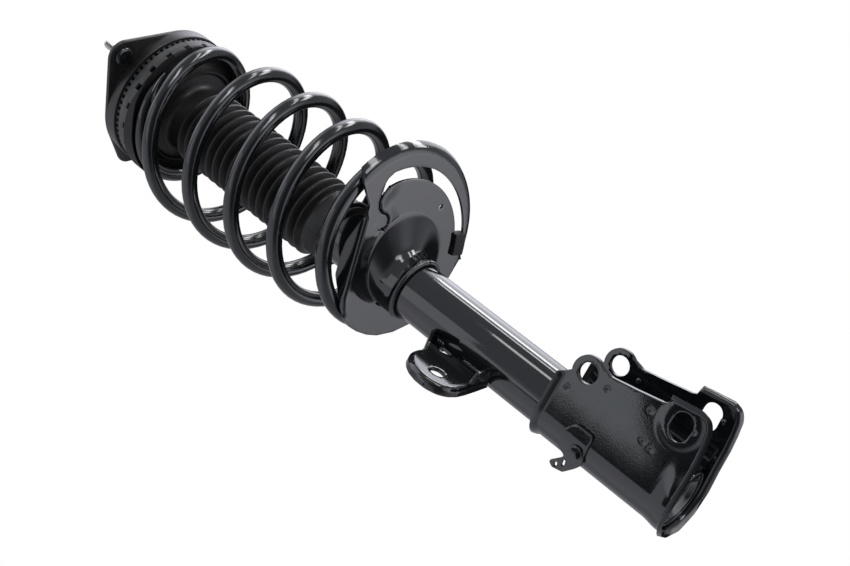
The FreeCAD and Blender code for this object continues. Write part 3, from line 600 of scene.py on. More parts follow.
def mount_outline():
    out = []
    for k in range(360):
        az = math.radians(k)
        r = CUP_R
        for stud in STUDS:
            r = max(r, lobe_reach(az - math.radians(stud), STUD_AT_R - 1, STUD_CORNER))
        r = max(r, lobe_reach(az - math.radians(TAB_AZ), TAB_AT_R, TAB_CORNER))
        out.append((r * math.cos(az), r * math.sin(az)))
    return out


mount_holes = [arc(0, 0, 41.0, 0, 357, 120)]
mount_holes += [arc(*polar(STUD_AT_R, az)[:2], 5.2, 0, 350, 36) for az in STUDS]
cut_plate(
    "mount_plate_skin", mount_outline(), mount_holes, -PLATE_T, 0, MOUNT_BLACK,
    "top_mount", "mount_plate", 1.3)

CUP = softened([
    (CUP_R - 5.0, -PLATE_T + 0.3), (CUP_R, -PLATE_T + 0.3), (CUP_R, CUP_END), (CUP_R - 3.0, CUP_END),
    (CUP_R - 3.0, -PLATE_T - 1.6), (CUP_R - 5.0, -PLATE_T - 1.6)], [0, 0, 1.3, 1.1, 0.4, 0.4])
turned("mount_cup_wall", CUP, MOUNT_BLACK, "top_mount")

DOME = softened([
    (42, 0), (38.5, 12), (33, 17), (27, 17), (27, 13), (31.5, 13), (34, 10), (36.8, -4.0), (42, -4.0)],
    [0, 6, 5, 0.8, 0.8, 4, 4, 2.0, 0], 6)
turned("mount_dome", DOME, MOUNT_BLACK, "top_mount")

RUBBER_RING = softened([
    (12.1, -12.5), (17, -12.5), (20, -8.2), (26, -9.8), (33.8, -9.8), (33.8, 9.6), (31, 12.9), (26.6, 12.9),
    (22.5, 7.0), (18.0, 10.8), (12.1, 12.5)], [0, 2, 2, 1, 0.5, 2, 1, 1, 4, 3, 0], 5)
turned("mount_bush_rubber", RUBBER_RING, PAD_RUBBER, "top_mount", "mount_rubber")

STUD_LEAD = -0.05
STUD_TOP = 22.0
STUD_R = 4.0
STUD_PITCH = 1.25
THREAD_DEPTH = 0.62


def threaded(name, x, y, node):
    """Shoulder and a rolled thread with a dog point"""
    rings = [(-4.3, 0.0), (-4.3, 5.0), (-1.0, 5.0), (STUD_LEAD, STUD_R)]
    z = STUD_LEAD + 0.6
    while z < STUD_TOP - 3.0:
        rings.append((z, None))
        z += STUD_PITCH / 8
    rings += [
        (STUD_TOP - 2.9, STUD_R - 0.15), (STUD_TOP - 1.6, 2.8), (STUD_TOP - 0.4, 2.8), (STUD_TOP, 2.4),
        (STUD_TOP, 0.0)]
    sides = 40
    points = []
    for z, reach in rings:
        threads = reach is None
        for k, a in enumerate(turns(sides)):
            if threads:
                phase = (z / STUD_PITCH - k / sides) % 1.0
                fade = min(1.0, (z - STUD_LEAD) / 2.0)
                reach = STUD_R - THREAD_DEPTH * fade * (1 - abs(2 * phase - 1)) ** 0.9
            points.append((x + reach * math.cos(a), y + reach * math.sin(a), z))
    mesh = mesh_of(name, points, grid_faces(len(rings), sides))
    return as_piece(name, mesh, ZINC, "top_mount", node, 28)


STUD_HEAD = softened(
    [(0, -7.5), (6.8, -7.5), (9.0, -6.0), (9.0, -4.02), (0, -4.02)], [0, 2.4, 1.6, 0.4, 0], 5)
for letter, az in zip("ab", STUDS):
    x, y, _ = polar(STUD_AT_R, az)
    threaded("stud_thread_" + letter, x, y, "tower_stud_" + letter)
    head = turned_mesh("stud_head_" + letter, STUD_HEAD, 64)
    head.transform(Matrix.Translation((x * MM, y * MM, 0)))
    as_piece("stud_head_" + letter, head, SEAT_BLACK, "top_mount")


# Bearing: cover band with square notches below, a toothed seal above it and the race inside
def crown_band(name, r_in, r_out, z_low, z_high, count, share, step, finish, node=None, taper=0.0):
    cuts = 5
    width = 360.0 / count
    low_r, step_r = r_out - taper, r_out - taper * (1 - step / (z_high - z_low))
    points, faces = [], []
    for k in range(count):
        first, mid, last = k * width, k * width + width * (1 - share), (k + 1) * width
        for a0, a1, low in ((first, mid, z_low), (mid, last, z_low + step)):
            for i in range(cuts):
                base = len(points)
                for angle in (a0 + (a1 - a0) * i / cuts, a0 + (a1 - a0) * (i + 1) / cuts):
                    points += [
                        polar(r_in, angle, low), polar(low_r, angle, low),
                        polar(r_out, angle, z_high), polar(r_in, angle, z_high)]
                for i0, i1 in ((0, 1), (1, 2), (2, 3), (3, 0)):
                    faces.append((base + i0, base + i1, base + 4 + i1, base + 4 + i0))
        for angle in (mid, last):
            base = len(points)
            points += [
                polar(r_in, angle, z_low), polar(low_r, angle, z_low),
                polar(step_r, angle, z_low + step), polar(r_in, angle, z_low + step)]
            faces.append((base, base + 1, base + 2, base + 3))
    piece = as_piece(name, mesh_of(name, points, faces), finish, "upper_seat", node, 30)
    return edged(piece, 0.3, 50, 2, 32)


crown_band(
    "bearing_cover_band", 62.8, 66.9, -30.6, -19.5, 20, 0.30, 5.0, BEARING_GREY,
    "bearing_lower_race", taper=0.6)
crown_band("bearing_seal_teeth", 63.0, 66.2, -19.6, -14.8, 66, 0.52, 4.4, DARK_NYLON)
RACE = softened([
    (47, -28), (59, -28), (59, -22.4), (62.9, -22.4), (62.9, -19.8), (61, -21.5), (58.5, -21.5), (56, -23),
    (52, -23), (49.5, -21.5), (47, -21.5)], 0.6)
turned("bearing_race_ring", RACE, DARK_NYLON, "upper_seat")

SEAT_RING = softened([
    (44.0, -18.5), (45.5, -18.5), (45.5, -26.6), (47.5, -28.05), (62.5, -28.05), (62.5, -29.4), (46.0, -29.4),
    (44.0, -27.6)], [0.5, 0.5, 1.5, 1.0, 0.6, 0.6, 1.5, 1.5])
turned("upper_seat_pressing", SEAT_RING, MOUNT_BLACK, "upper_seat", "upper_spring_seat")

# Rubber wedge between the seat and the leaning top coil, with a lip beside the wire's end
TOP_AT_X = -2.5
TOP_LEAN_Y = 0.031
WEDGE_TOP = -29.45
WEDGE_R = 66.7


def wedge_height(r, az):
    a = math.radians(az)
    return -37.2 + 0.1 * (r * math.cos(a) - TOP_AT_X) - TOP_LEAN_Y * r * math.sin(a)


def wedge():
    steps = 180
    points = []
    for k in range(steps):
        az = 360.0 * k / steps
        lip = float(ss(az, 168, 236) * (1 - ss(az, 252, 296)))
        r = WEDGE_R + 3.3 * min(1.0, 2 * lip)
        drop = wedge_height(r, az) - 6.6 * lip
        shelf = max(-31.6, drop + 1.2)
        ring = [
            (45.6, WEDGE_TOP), (62.5, WEDGE_TOP), (62.5, shelf + 0.5), (r - 0.6, shelf + 0.2),
            (r, shelf - 0.4), (r, drop + 0.3), (r - 0.4, drop), (r - 1.0, drop),
            (r - 1.4, min(drop + 0.5, wedge_height(r, az)))]
        for inner, below in ((r - 1.6, 0.0), (60.0, 0.0), (52.0, 0.0), (50.0, 0.6), (48.9, 2.0)):
            ring.append((inner, wedge_height(inner, az) - below))
        ring += [(48.4, -45.4), (47.9, -46.9), (47.0, -47.4), (46.2, -47.2), (45.6, -46.4)]
        points += [polar(out, az, z) for out, z in ring]
    faces = grid_faces(steps, len(ring), looped=True)
    mesh = mesh_of("upper_pad", points, faces)
    as_piece("upper_pad", mesh, PAD_RUBBER, "upper_seat", "upper_isolator", 42)


wedge()

# Coil spring: the wire follows the turns of the model's own coil, with its first end drawn thin
SEAT_X, SEAT_Z, SEAT_LX, SEAT_LY = 29.8, -315.3, 0.211, -0.162
SEAT_SLOPE = math.sqrt(1 + SEAT_LX ** 2 + SEAT_LY ** 2)
WIRE = 7.0
COIL_AZ = -66.65
COIL_R = 78.8
COIL_LEAD = 54.3
COIL_START_Z = -76.8
COIL_LEAN = 0.082
DRIFT_X, DRIFT_Y = 0.0745, 0.006
TOP_AT_Y = -0.9
TOP_COIL_Z = -44.5
TOP_COIL_R = 66.0
TOP_EXTRA_LEAN = 0.018
TOP_RISE = 33.9
TIP_R = 69.4 - 1.0 - WIRE - math.hypot(TOP_AT_X, TOP_AT_Y) - 0.3
DEAD_R = 72.0
DEAD_X = 19.2
DEAD_RISE = (3.0 + 3.0 + WIRE + 0.55) * SEAT_SLOPE


def seat_height(x, y):
    return SEAT_Z + SEAT_LX * (x - SEAT_X) + SEAT_LY * y


def coil_az(turn):
    return math.radians(COIL_AZ - 360.0 * turn)


def coil_point(turn):
    az = coil_az(turn)
    rise = max(0.0, 0.5 - turn)
    free = COIL_START_Z - COIL_LEAD * turn + TOP_RISE * rise * rise
    over = free - TOP_COIL_Z
    z_mid = TOP_COIL_Z + 0.5 * (over - math.sqrt(over * over + 12.0))
    x_mid = TOP_AT_X + DRIFT_X * (TOP_COIL_Z - z_mid)
    y_mid = TOP_AT_Y + DRIFT_Y * (TOP_COIL_Z - z_mid)
    r = COIL_R - (COIL_R - TOP_COIL_R) * (1.0 - float(ss((turn + 0.4) / 0.8)))
    r = r - (TOP_COIL_R - TIP_R) * (1.0 - float(ss((turn + 0.7) / 0.35)))
    lean = COIL_LEAN + TOP_EXTRA_LEAN * (1.0 - float(ss((turn + 0.25) / 1.25)))
    end = float(ss((turn - 3.5) / 0.5))
    r = r + (DEAD_R - r) * end
    x = x_mid + (DEAD_X - x_mid) * end + r * math.cos(az)
    y = y_mid * (1.0 - end) + r * math.sin(az)
    z_free = z_mid + lean * r * math.cos(az) - TOP_LEAN_Y * r * math.sin(az)
    z_end = seat_height(x, y) + DEAD_RISE
    drop = z_free - z_end
    return Vector((x, y, z_end + 0.5 * (drop + math.sqrt(drop * drop + 8.0))))


def wire_run(name, first, last, body, node=None, drawn_first=False, capped_last=False):
    count = int(round((last - first) * 60))
    sides = 32
    rings = [(first + (last - first) * i / count, WIRE) for i in range(count + 1)]
    if drawn_first:
        rings = [(turn, WIRE * (0.22 + 0.78 * float(ss(turn, first, first + 0.11)))) for turn, _ in rings]
    if capped_last:
        rings = rings[:-1] + [(last - 0.0018, WIRE), (last, WIRE - 0.9)]
    points = []
    for turn, size in rings:
        at = coil_point(turn) + Vector((0, 0, (WIRE - size) * (turn < 0)))
        along = (coil_point(turn + 0.003) - coil_point(turn - 0.003)).normalized()
        az = coil_az(turn)
        points += hoop(at, along, Vector((math.cos(az), math.sin(az), 0.0)), size, sides)
    faces = grid_faces(len(rings), sides)
    if drawn_first:
        faces.append(tuple(reversed(range(sides))))
    if capped_last:
        faces.append(tuple((len(rings) - 1) * sides + k for k in range(sides)))
    return as_piece(name, mesh_of(name, points, faces, False), COIL_BLACK, body, node, 50)


DEAD_TURN = 3.46
coil = wire_run("coil_spring_wire", -1.05, DEAD_TURN, "upper_seat", "coil_spring", drawn_first=True)
dead_drop = (-37.5 - coil_point(DEAD_TURN).z) * MM
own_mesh(coil)
wire_run("coil_spring_dead_end", DEAD_TURN, 4.57, "strut_tube", capped_last=True)


# Bellows boot
def bellows():
    crest, valley, top, end, ribs, per_rib = 37.0, 31.3, -64.0, -238.0, 17, 14
    pitch = (top - end) / ribs
    outer = [
        (45.0, -42.2), (45.1, -44.6), (44.4, -45.2), (36.5, -46.2), (34.2, -47.4), (32.4, -49.6), (31.5, -53),
        (31.3, -58)]
    for i in range(ribs * per_rib + 1):
        t = i / per_rib
        bulge = (0.5 - 0.5 * math.cos(2 * math.pi * (t % 1.0))) ** 0.72
        fade = float(ss(t, 0, 0.6) * (1 - ss(t, ribs - 0.6, ribs)))
        outer.append((valley + (crest - valley) * bulge * (0.25 + 0.75 * fade), top - pitch * t))
    outer += [(31.4, -242), (31.4, -253.4), (32.0, -254.6), (32.8, -255.4), (32.9, -257.4), (32.4, -258)]
    inner = [(max(r - 1.7, 29.6), z) for r, z in reversed(outer[7:-3])]
    inner = [(30.6, -258), (29.9, -257.2)] + inner + [(31.0, -47.5), (33.5, -44.0), (38.0, -42.2)]
    return turned_mesh("boot_bellows", outer + inner, 128)


boot = as_piece("boot_bellows", bellows(), BOOT_RUBBER, "upper_seat", "dust_boot", 60)
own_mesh(boot)

# Damper tube and its closed end
TUBE = softened([
    (23.1, -637.0), (25.5, -637.0), (25.5, -246.0), (19.6, -246.0), (19.6, -248.4), (23.1, -248.4)],
    [0.6, 1.0, 2.2, 0.5, 0.5, 0.8], 5)
turned("damper_tube_shell", TUBE, TUBE_BLACK, "strut_tube", "damper_tube", 256)
END_CAP = softened([
    (0, -633.2), (8, -633.2), (9.5, -632.4), (14.5, -632.4), (18.2, -636.4), (22.6, -636.4), (23.0, -635.6),
    (23.0, -630.2), (0, -630.2)], [0, 2, 1, 3, 2, 0.8, 0.5, 0.5, 0], 5)
turned("tube_end_cap", END_CAP, TUBE_BLACK, "strut_tube", "base_cap", 160)

# Lower spring seat: leaning pressing with folded rim and near wall, bowl, crescent slot and lanced hook
SEAT_N = Vector((-SEAT_LX, -SEAT_LY, 1.0)).normalized()
SEAT_U = Vector((1.0, 0.0, SEAT_LX)).normalized()
SEAT_V = SEAT_N.cross(SEAT_U)
SEAT_O = Vector((SEAT_X, 0.0, SEAT_Z))
SLOT_U = DEAD_X - SEAT_X
SLOT_IN_R = 66.0
SLOT_OUT_R = 77.0
SLOT_END = 86.5


def on_seat(u, v, w):
    return SEAT_O + SEAT_U * u + SEAT_V * v + SEAT_N * w


def seat_uv(x, y):
    off = Vector((x, y, seat_height(x, y))) - SEAT_O
    return (off.dot(SEAT_U), off.dot(SEAT_V))


def seat_line(points):
    return [seat_uv(x, y) for x, y in points]


def by_slot(r, az):
    """Place on the seat from the middle of the slot's arcs"""
    x, y, _ = polar(r, az)
    return (SLOT_U + x, y)


RIM_FOLD = 9.0
RIM_ANGLE = 60.0
RIM_LINE_R = 77.2
RIM_BEND = RIM_FOLD * math.radians(RIM_ANGLE)
WALL_FOLD = 3.5
WALL_ANGLE = 85.0
WALL_BEND = WALL_FOLD * math.radians(WALL_ANGLE)
WALL_LINE = ((54.0, -46.5), (20.0, -46.5), (-26.0, -46.5), (-36.0, -43.5), (-44.0, -38.0))
FAR_EDGE = ((19.5, 81.3), (-3.0, 71.0))
LEFT_EDGE = (
    (-20, 66.0), (-34, 54.0), (-46.0, 37.5), (-53.5, 20.0), (-57.0, 1.0), (-56.4, -12.0), (-53.5, -25.0),
    (-50.0, -34.0))
WALL_EDGE = (
    (-46.0, -40.4), (-42.0, -44.8), (-37.6, -48.4), (-33.0, -51.6), (-24.0, -56.5), (-17.0, -61.0),
    (-10.0, -65.3), (0.0, -65.5), (10.0, -65.0), (20.0, -63.8), (27.0, -60.8), (34.0, -57.5), (42.0, -53.5),
    (48.0, -50.4), (52.0, -50.0))
HORN = ((57.0, -50.0), (74.5, -63.5))


def seat_outline():
    """The blank, with the rim still flat"""
    reach = RIM_LINE_R + RIM_BEND + 4.4
    rim = arc(0, 0, reach, -47.5, 90.0, 150)
    for az in np.linspace(91.0, 101.0, 9):
        rim.append(polar(reach + (87.2 - reach) * float(ss(az, 90, 101)), az)[:2])
    far = seat_line(FAR_EDGE)
    left = seat_line(LEFT_EDGE + WALL_EDGE)
    near = softened(left, 8, 4, False) + softened([left[-1]] + seat_line(HORN), 5, 5, False)[1:]
    return near + rim + softened([rim[-1]] + far + left[:1], [0, 7, 9, 0], 5, False)[1:-1]


# The lanced hook's inner side, from the slot round the tongue, and the tongue's outer side
HOOK_CUT = (
    (46.4, -34.0), (41.0, -38.4), (33.0, -40.6), (27.2, -39.1), (23.7, -34.9), (22.4, -28.9), (18.7, -25.0),
    (13.0, -24.6), (8.3, -27.7))
TONGUE_SIDE = (
    (53.5, -38.0), (46.0, -41.0), (38.0, -41.5), (32.4, -41.7), (26.5, -40.1), (22.8, -35.3), (21.6, -29.5),
    (18.2, -26.0), (13.3, -25.6), (9.2, -28.2), (8.3, -33.4), (7.5, -33.6))
HOOK_CORNER = 2.4
HOOK_DROP = 1.1


def slot_loop():
    outer = arc(SLOT_U, 0, SLOT_OUT_R, SLOT_END, -25.0, 60)
    inner = arc(SLOT_U, 0, SLOT_IN_R, -23.0, 86.0, 56)
    hook = outer[-1:] + list(TONGUE_SIDE + HOOK_CUT[::-1]) + [by_slot(SLOT_IN_R, -24)]
    tip = arc(*by_slot(71.5, SLOT_END), 5.3, 250, 105, 7)
    return outer + softened(hook, HOOK_CORNER, 4, False)[1:-1] + inner + tip


BOWL_X, BOWL_Y = 12.0, 8.0
BOWL_U = BOWL_X - SEAT_X
BOWL_R = 44.5
BOWL_STEPS = 132
BOWL_CORNER = 2.6
NECK_R = 29.0
NECK_Z = -332.0


def bowl_rings():
    """From the flat flange down to the neck round the tube"""
    sides = []
    for a in turns(BOWL_STEPS):
        out = Vector((math.cos(a), math.sin(a), 0))
        mouth = on_seat(BOWL_U + BOWL_R * out.x, BOWL_Y + BOWL_R * out.y, 0)
        crease = mouth - (SEAT_U * out.x + SEAT_V * out.y) * BOWL_CORNER
        turn = Vector((NECK_R * out.x, NECK_R * out.y, NECK_Z))
        slope = (turn - crease).normalized()
        upper = rounded(mouth, crease, crease + slope * BOWL_CORNER, 6)
        lower = rounded(turn - slope * 5.0, turn, turn - Vector((0, 0, 5.0)), 8)
        wall = [upper[-1].lerp(lower[0], t) for t in np.linspace(0, 1, 10)[1:-1]]
        sides.append(upper + wall + lower)
    rings = [list(ring) for ring in zip(*sides)]
    for r, z in ((NECK_R, -340), (NECK_R, -343), (29.3, -345), (30.2, -346.6)):
        rings.append([Vector((r * math.cos(a), r * math.sin(a), z)) for a in turns(BOWL_STEPS)])
    return rings


def lower_seat():
    mouth = [(BOWL_U + BOWL_R * math.cos(a), BOWL_Y + BOWL_R * math.sin(a)) for a in turns(BOWL_STEPS)]
    drain = [
        (32.2 + 2.1 * math.cos(a) - 1.2 * math.sin(a), 35.4 + 2.1 * math.cos(a) + 1.5 * math.sin(a))
        for a in np.linspace(0, 2 * math.pi, 19)[:-1]]
    fold = np.array(arc(0, 0, RIM_LINE_R, 104.0, -52.0, 160))
    wall_fold = np.array(softened(seat_line(WALL_LINE), 12, 5, False))
    extra = fold_points(fold, RIM_FOLD, RIM_ANGLE, RIM_BEND + 2.2)
    extra += fold_points(wall_fold, WALL_FOLD, WALL_ANGLE, WALL_BEND + 2.2)
    points, tris = sheet(seat_outline(), [mouth, slot_loop(), drain], 2.2, extra)
    x, y = points[:, 0], points[:, 1]

    # The rim folds up, and fades out past the far end of its line
    flat, lift = folded(points, fold, RIM_FOLD, RIM_ANGLE)
    keep = ss(np.degrees(np.arctan2(y, x)), 97, 104)
    flat = np.where((keep > 0)[:, None], flat + (points - flat) * keep[:, None], flat)
    lift = lift * (1 - keep)

    # The near wall folds up between its two ends
    wall, rise = folded(points, wall_fold, WALL_FOLD, WALL_ANGLE)
    across = x + SEAT_X
    share = ss(across, -46, -38) * (1 - ss(across, 44, 53)) * (y < 0)
    flat = flat + (wall - points) * share[:, None]
    lift = lift + rise * share

    # The hook's inner side is pressed down
    gap, _, _ = nearest(points, np.array(softened(HOOK_CUT, HOOK_CORNER, 4, False)))
    tip = np.hypot(x - 8.0, y + 33.0)
    inside = (gap < 0) & (np.hypot(x - SLOT_U, y) < 70.0)
    lift = lift - HOOK_DROP * (1 - ss(-gap, 0, 13)) * inside * ss(tip, 0.8, 10)

    solid = [on_seat(p[0], p[1], h) for p, h in zip(flat, lift)]
    rings = bowl_rings()
    faces = as_faces(tris) + grid_faces(len(rings), BOWL_STEPS, len(solid))
    for ring in rings:
        solid += ring
    mesh = mesh_of("lower_seat_pressing", solid, faces)
    piece = as_piece("lower_seat_pressing", mesh, SEAT_BLACK, "strut_tube", "lower_spring_seat", 42)
    up = sum(p.normal.z * p.area for p in mesh.polygons)
    return gauged(piece, 2.9, 1.0 if up > 0 else -1.0, 0.8, 52, 3, 42)


lower_seat()

# Rubber pad under the dead coil, with its plug in the slot's end and a lip inside the wire
SEAT_PLACE = Matrix((
    (SEAT_U.x, SEAT_V.x, SEAT_N.x, SEAT_O.x * MM), (SEAT_U.y, SEAT_V.y, SEAT_N.y, SEAT_O.y * MM),
    (SEAT_U.z, SEAT_V.z, SEAT_N.z, SEAT_O.z * MM), (0, 0, 0, 1)))
PAD_IN_R = 60.5
PAD_OUT_R = 79.0
PAD_REACH = 80.5
PAD_EDGE = (
    (-33.0, -38.5), (-22.0, -42.6), (-8.0, -43.4), (45.0, -43.4), (62.0, -43.0), (66.0, -36.0), (60.0, -26.0),
    (52.0, -21.0), (40.0, -21.0), (34.5, -30.0), (29.0, -38.0), (-14.0, -38.0))


def pad_outline():
    inner = arc(SLOT_U, 0, PAD_IN_R, 96.0, 222.0, 40)
    outer = []
    for az in np.linspace(218.0, 96.0, 50):
        u, v = by_slot(PAD_OUT_R, az)
        k = min(1.0, PAD_REACH / math.hypot(u, v))
        outer.append((u * k, v * k))
    return inner[:-2] + seat_line(PAD_EDGE)[:0:-1] + outer[2:]


plug_line = softened(arc(SLOT_U, 0, 64.8, 73.0, 91.0, 10) + arc(SLOT_U, 0, 78.0, 90.0, 74.5, 10), 3.0, 4)
pad_lip = arc(SLOT_U, 0, PAD_IN_R, 96.0, 216.0, 60) + arc(SLOT_U, 0, 62.0, 216.0, 96.0, 60)
for name, line, low, high, node, edge in (
        ("lower_pad", pad_outline(), 3.05, 6.0, "lower_isolator", 0.7),
        ("lower_pad_plug", plug_line, -3.4, 5.8, None, 0.8),
        ("lower_pad_lip", pad_lip, 5.0, 11.5, None, 0.5)):
    cut_plate(name, line, [], low, high, PAD_RUBBER, "strut_tube", node, edge, SEAT_PLACE)

# Knuckle clamp: two halves folded round the tube, flared at their lips and collar and welded behind
CLAMP_Z = -508.0
CLAMP_MID = 25.6 + 1.7
CLAMP_LOW = -129.0
HALF_TURN = math.pi / 2 * CLAMP_MID
LIP_FOLD = 3.0
LIP_ANGLE = 66.0
LIP_LENGTH = LIP_FOLD * math.radians(LIP_ANGLE) + 2.6
BOLT_R = 8.5
EAR_X, EAR_Z, EAR_R = 47.0, -23.2, 14.3
LONG_X, LONG_Z, LONG_HALF = 57.4, -106.2, 3.5
DIMPLES = ((27, -14), (46, -42.5), (53, -80), (30, -87), (29, -95), (60, -116.5))


def lip_line(far):
    dip = 1.4 if far else -0.8
    corners = [
        (-HALF_TURN - 8, CLAMP_LOW), (-HALF_TURN + 4, CLAMP_LOW), (-30.0, CLAMP_LOW - dip),
        (-14.0, CLAMP_LOW - dip), (4.0, CLAMP_LOW - 0.5 * dip), (24, -128.2), (43.0, -127.4), (56.0, -125.9),
        (66.8, -124.0), (71.6, -121.0), (73.1, -114.6), (69.4, -89.0), (68.4, -82.0)]
    return softened(corners, [0, 20, 20, 20, 20, 20, 20, 12, 7, 5, 5, 0, 0], 6, False)


def clamp_blank(far):
    outer = [
        p for p in moved_out(lip_line(far), LIP_LENGTH)
        if (p[1] < -89.6 or p[0] < 60) and p[0] > -HALF_TURN + 1]
    foot = [(-HALF_TURN, z) for z in np.linspace(0, CLAMP_LOW - LIP_LENGTH, 76)]
    front = softened([
        outer[-1], (69.4 + 0.92 * LIP_LENGTH, -88.9), (66.6, -88.4), (64.8, -85.0), (59.7, -61.0),
        (56.0, -40.5), (59.2, -33.0)], [0, 0.7, 1.4, 3.0, 30, 7.0, 0], 5, False)
    ear = arc(EAR_X, EAR_Z, EAR_R, -38.0, 112.0, 26)
    top = softened([ear[-1], (38.2, -6.5), (33.5, -0.2), (20.0, 0.0)], [0, 4.5, 2.5, 0], 5, False)
    edge = [(x, 0.0) for x in np.linspace(18.0, -HALF_TURN, 46)]
    return foot + outer + front[1:-1] + ear + top[1:] + edge[:-1]


def clamp_half(far):
    hole = arc(EAR_X, EAR_Z, BOLT_R, 0, 350, 36)
    slot = arc(LONG_X + LONG_HALF, LONG_Z, BOLT_R, -90, 90, 16)
    slot += arc(LONG_X - LONG_HALF, LONG_Z, BOLT_R, 90, 270, 16)
    fold = np.array(lip_line(far))[::-1]
    extra = [p for p in fold_points(fold, LIP_FOLD, LIP_ANGLE, LIP_LENGTH - 1.2) if p[0] > -HALF_TURN + 0.8]
    for x, z in DIMPLES:
        extra.append((x, z))
        for r in (0.6, 1.2, 1.8):
            extra += arc(x, z, r, 0, 337.5, 16)
    points, tris = sheet(clamp_blank(far), [hole, slot], 2.0, extra)
    flat, lift = folded(points, fold, LIP_FOLD, LIP_ANGLE)
    s, z = flat[:, 0], flat[:, 1]

    # Collar at the top, raised face round the long hole, flare at the foot, and round dimples
    lift = lift + 3.0 * ss(z, -6.5, -0.5) * (1 - ss(s, 30, 38)) * (points[:, 1] > -20)
    around = np.hypot((s - 58.5) / 20.0, (z + 106.0) / 19.0)
    lift = lift + 0.3 * (1 - ss(around, 0.72, 1.12))
    lift = lift + 1.5 * (ss(z, -112, -126) * (1 - ss(s, 6, 40)))
    for x, zc in DIMPLES:
        lift = lift - 1.1 * (1 - ss(np.hypot(s - x, z - zc), 0.3, 1.8))

    # Wrapped round the tube behind its middle, and straight in front of it
    turn = np.clip(-s, 0, None) / CLAMP_MID
    r = CLAMP_MID + lift
    x = np.where(s > 0, s, -r * np.sin(turn))
    y = np.where(s > 0, -r, -r * np.cos(turn))
    if far:
        y = -y
        tris = tris[:, ::-1]
    return [(a, b, CLAMP_Z + c) for a, b, c in zip(x, y, z)], tris


def knuckle_clamp():
    near, near_tris = clamp_half(False)
    far, far_tris = clamp_half(True)
    faces = as_faces(near_tris) + as_faces(far_tris, len(near))
    mesh = mesh_of("knuckle_clamp_stamping", near + far, faces, False)
    work = bmesh.new()
    work.from_mesh(mesh)
    seam = [v for v in work.verts if abs(v.co.y) < 0.0002 and v.co.x < -0.02]
    bmesh.ops.remove_doubles(work, verts=seam, dist=0.0012)
    work.to_mesh(mesh)
    work.free()
    piece = as_piece("knuckle_clamp_stamping", mesh, CLAMP_BLACK, "strut_tube", "knuckle_bracket", 40)
    return gauged(piece, 3.4, 0.0, 0.7, 52, 3, 40)


knuckle_clamp()

# Ear for the stabiliser link, on a plate that stands beside the tube's middle
LINK_OFF = 14.35
LINK_TURN = Matrix.Translation((-14.33 * MM, 0.75 * MM, 0)) @ Matrix.Rotation(math.radians(-93.0), 4, "Z")
LINK_FOLD = 2.6
LINK_ANGLE = 88.0
LINK_ROOT = 21.4
LINK_WINDOW = ((25.4, 99.0), (31.5, 99.6), (37.6, 93.8), (33.6, 87.6), (30.0, 84.6), (27.0, 90.5))
LINK_LINE = (
    (16.0, 53.2), (38, 53.2), (54, 52.8), (64, 53.2), (72.5, 55.6), (78.6, 60.2), (81.8, 68), (81.8, 76.6),
    (79.4, 84.2), (75.2, 90.4), (70.4, 94.8), (64.6, 98.0), (57.0, 98.6), (50.0, 97.4))
LINK_TOP = ((48.5, 102.0), (40, 106.5), (28, 113.0), (LINK_ROOT, 113.0))
LINK_LEG = ((17.0, 114), (28.0, 114), (49, 102), (49, 98.4), (28, 110.2), (17.0, 110.2))
LINK_FOOT = ((20.5, -1.5), (45.0, -1.5), (47.5, 2.0), (42.0, 12.8), (24.9, 12.8))


def link_point(x, y, z):
    p = LINK_TURN @ (Vector((x, y, z)) * MM) / MM
    return (p.x, p.y, p.z)


def link_root(side):
    """How far out the tube's skin is, beside the plate"""
    return math.sqrt(26.6 ** 2 - (side - LINK_OFF) ** 2)


def link_ear():
    window = softened(raised(CLAMP_Z, LINK_WINDOW), LINK_FOLD, 4)
    hole = arc(67.5, -436, 6.6, 0, 352, 45)
    line = np.array(softened(raised(CLAMP_Z, LINK_LINE), 12, 5, False))
    fold = line[::-1]
    top = softened(raised(CLAMP_Z, LINK_TOP), [0, 6, 4, 0], 3, False)
    rim = [
        p for p in moved_out(line, LINK_FOLD * math.radians(LINK_ANGLE) + 4.4)
        if p[0] > LINK_ROOT and not (p[0] < 54 and p[1] > CLAMP_Z + 90)]
    extra = [p for p in fold_points(fold, LINK_FOLD, LINK_ANGLE, 6.4) if p[0] > 22.6]
    points, tris = sheet([(LINK_ROOT, rim[0][1])] + rim + top, [window, hole], 1.9, extra)
    flat, lift = folded(points, fold, LINK_FOLD, LINK_ANGLE)
    shaped = [link_point(p[0], 1.6 - h, p[1]) for p, h in zip(flat, lift)]
    return pressed("link_ear_pressing", shaped, tris, 3.6, "link_bracket", 0.6)


link_ear()
leg = softened(raised(CLAMP_Z, LINK_LEG), [0, 3, 2, 1, 2, 0], 3)
foot = softened(LINK_FOOT, [0, 1, 3, 3, 0], 3)
on_side = LINK_TURN @ Matrix.Rotation(math.radians(90), 4, "X")
at_foot = LINK_TURN @ Matrix.Translation((0, 0, (CLAMP_Z + 52.0) * MM))
cut_plate("link_ear_leg", leg, [], -9.5, 1.5, CLAMP_BLACK, "strut_tube", None, 0.9, on_side)
cut_plate("link_ear_foot", foot, [], -1.8, 1.8, CLAMP_BLACK, "strut_tube", None, 0.9, at_foot)

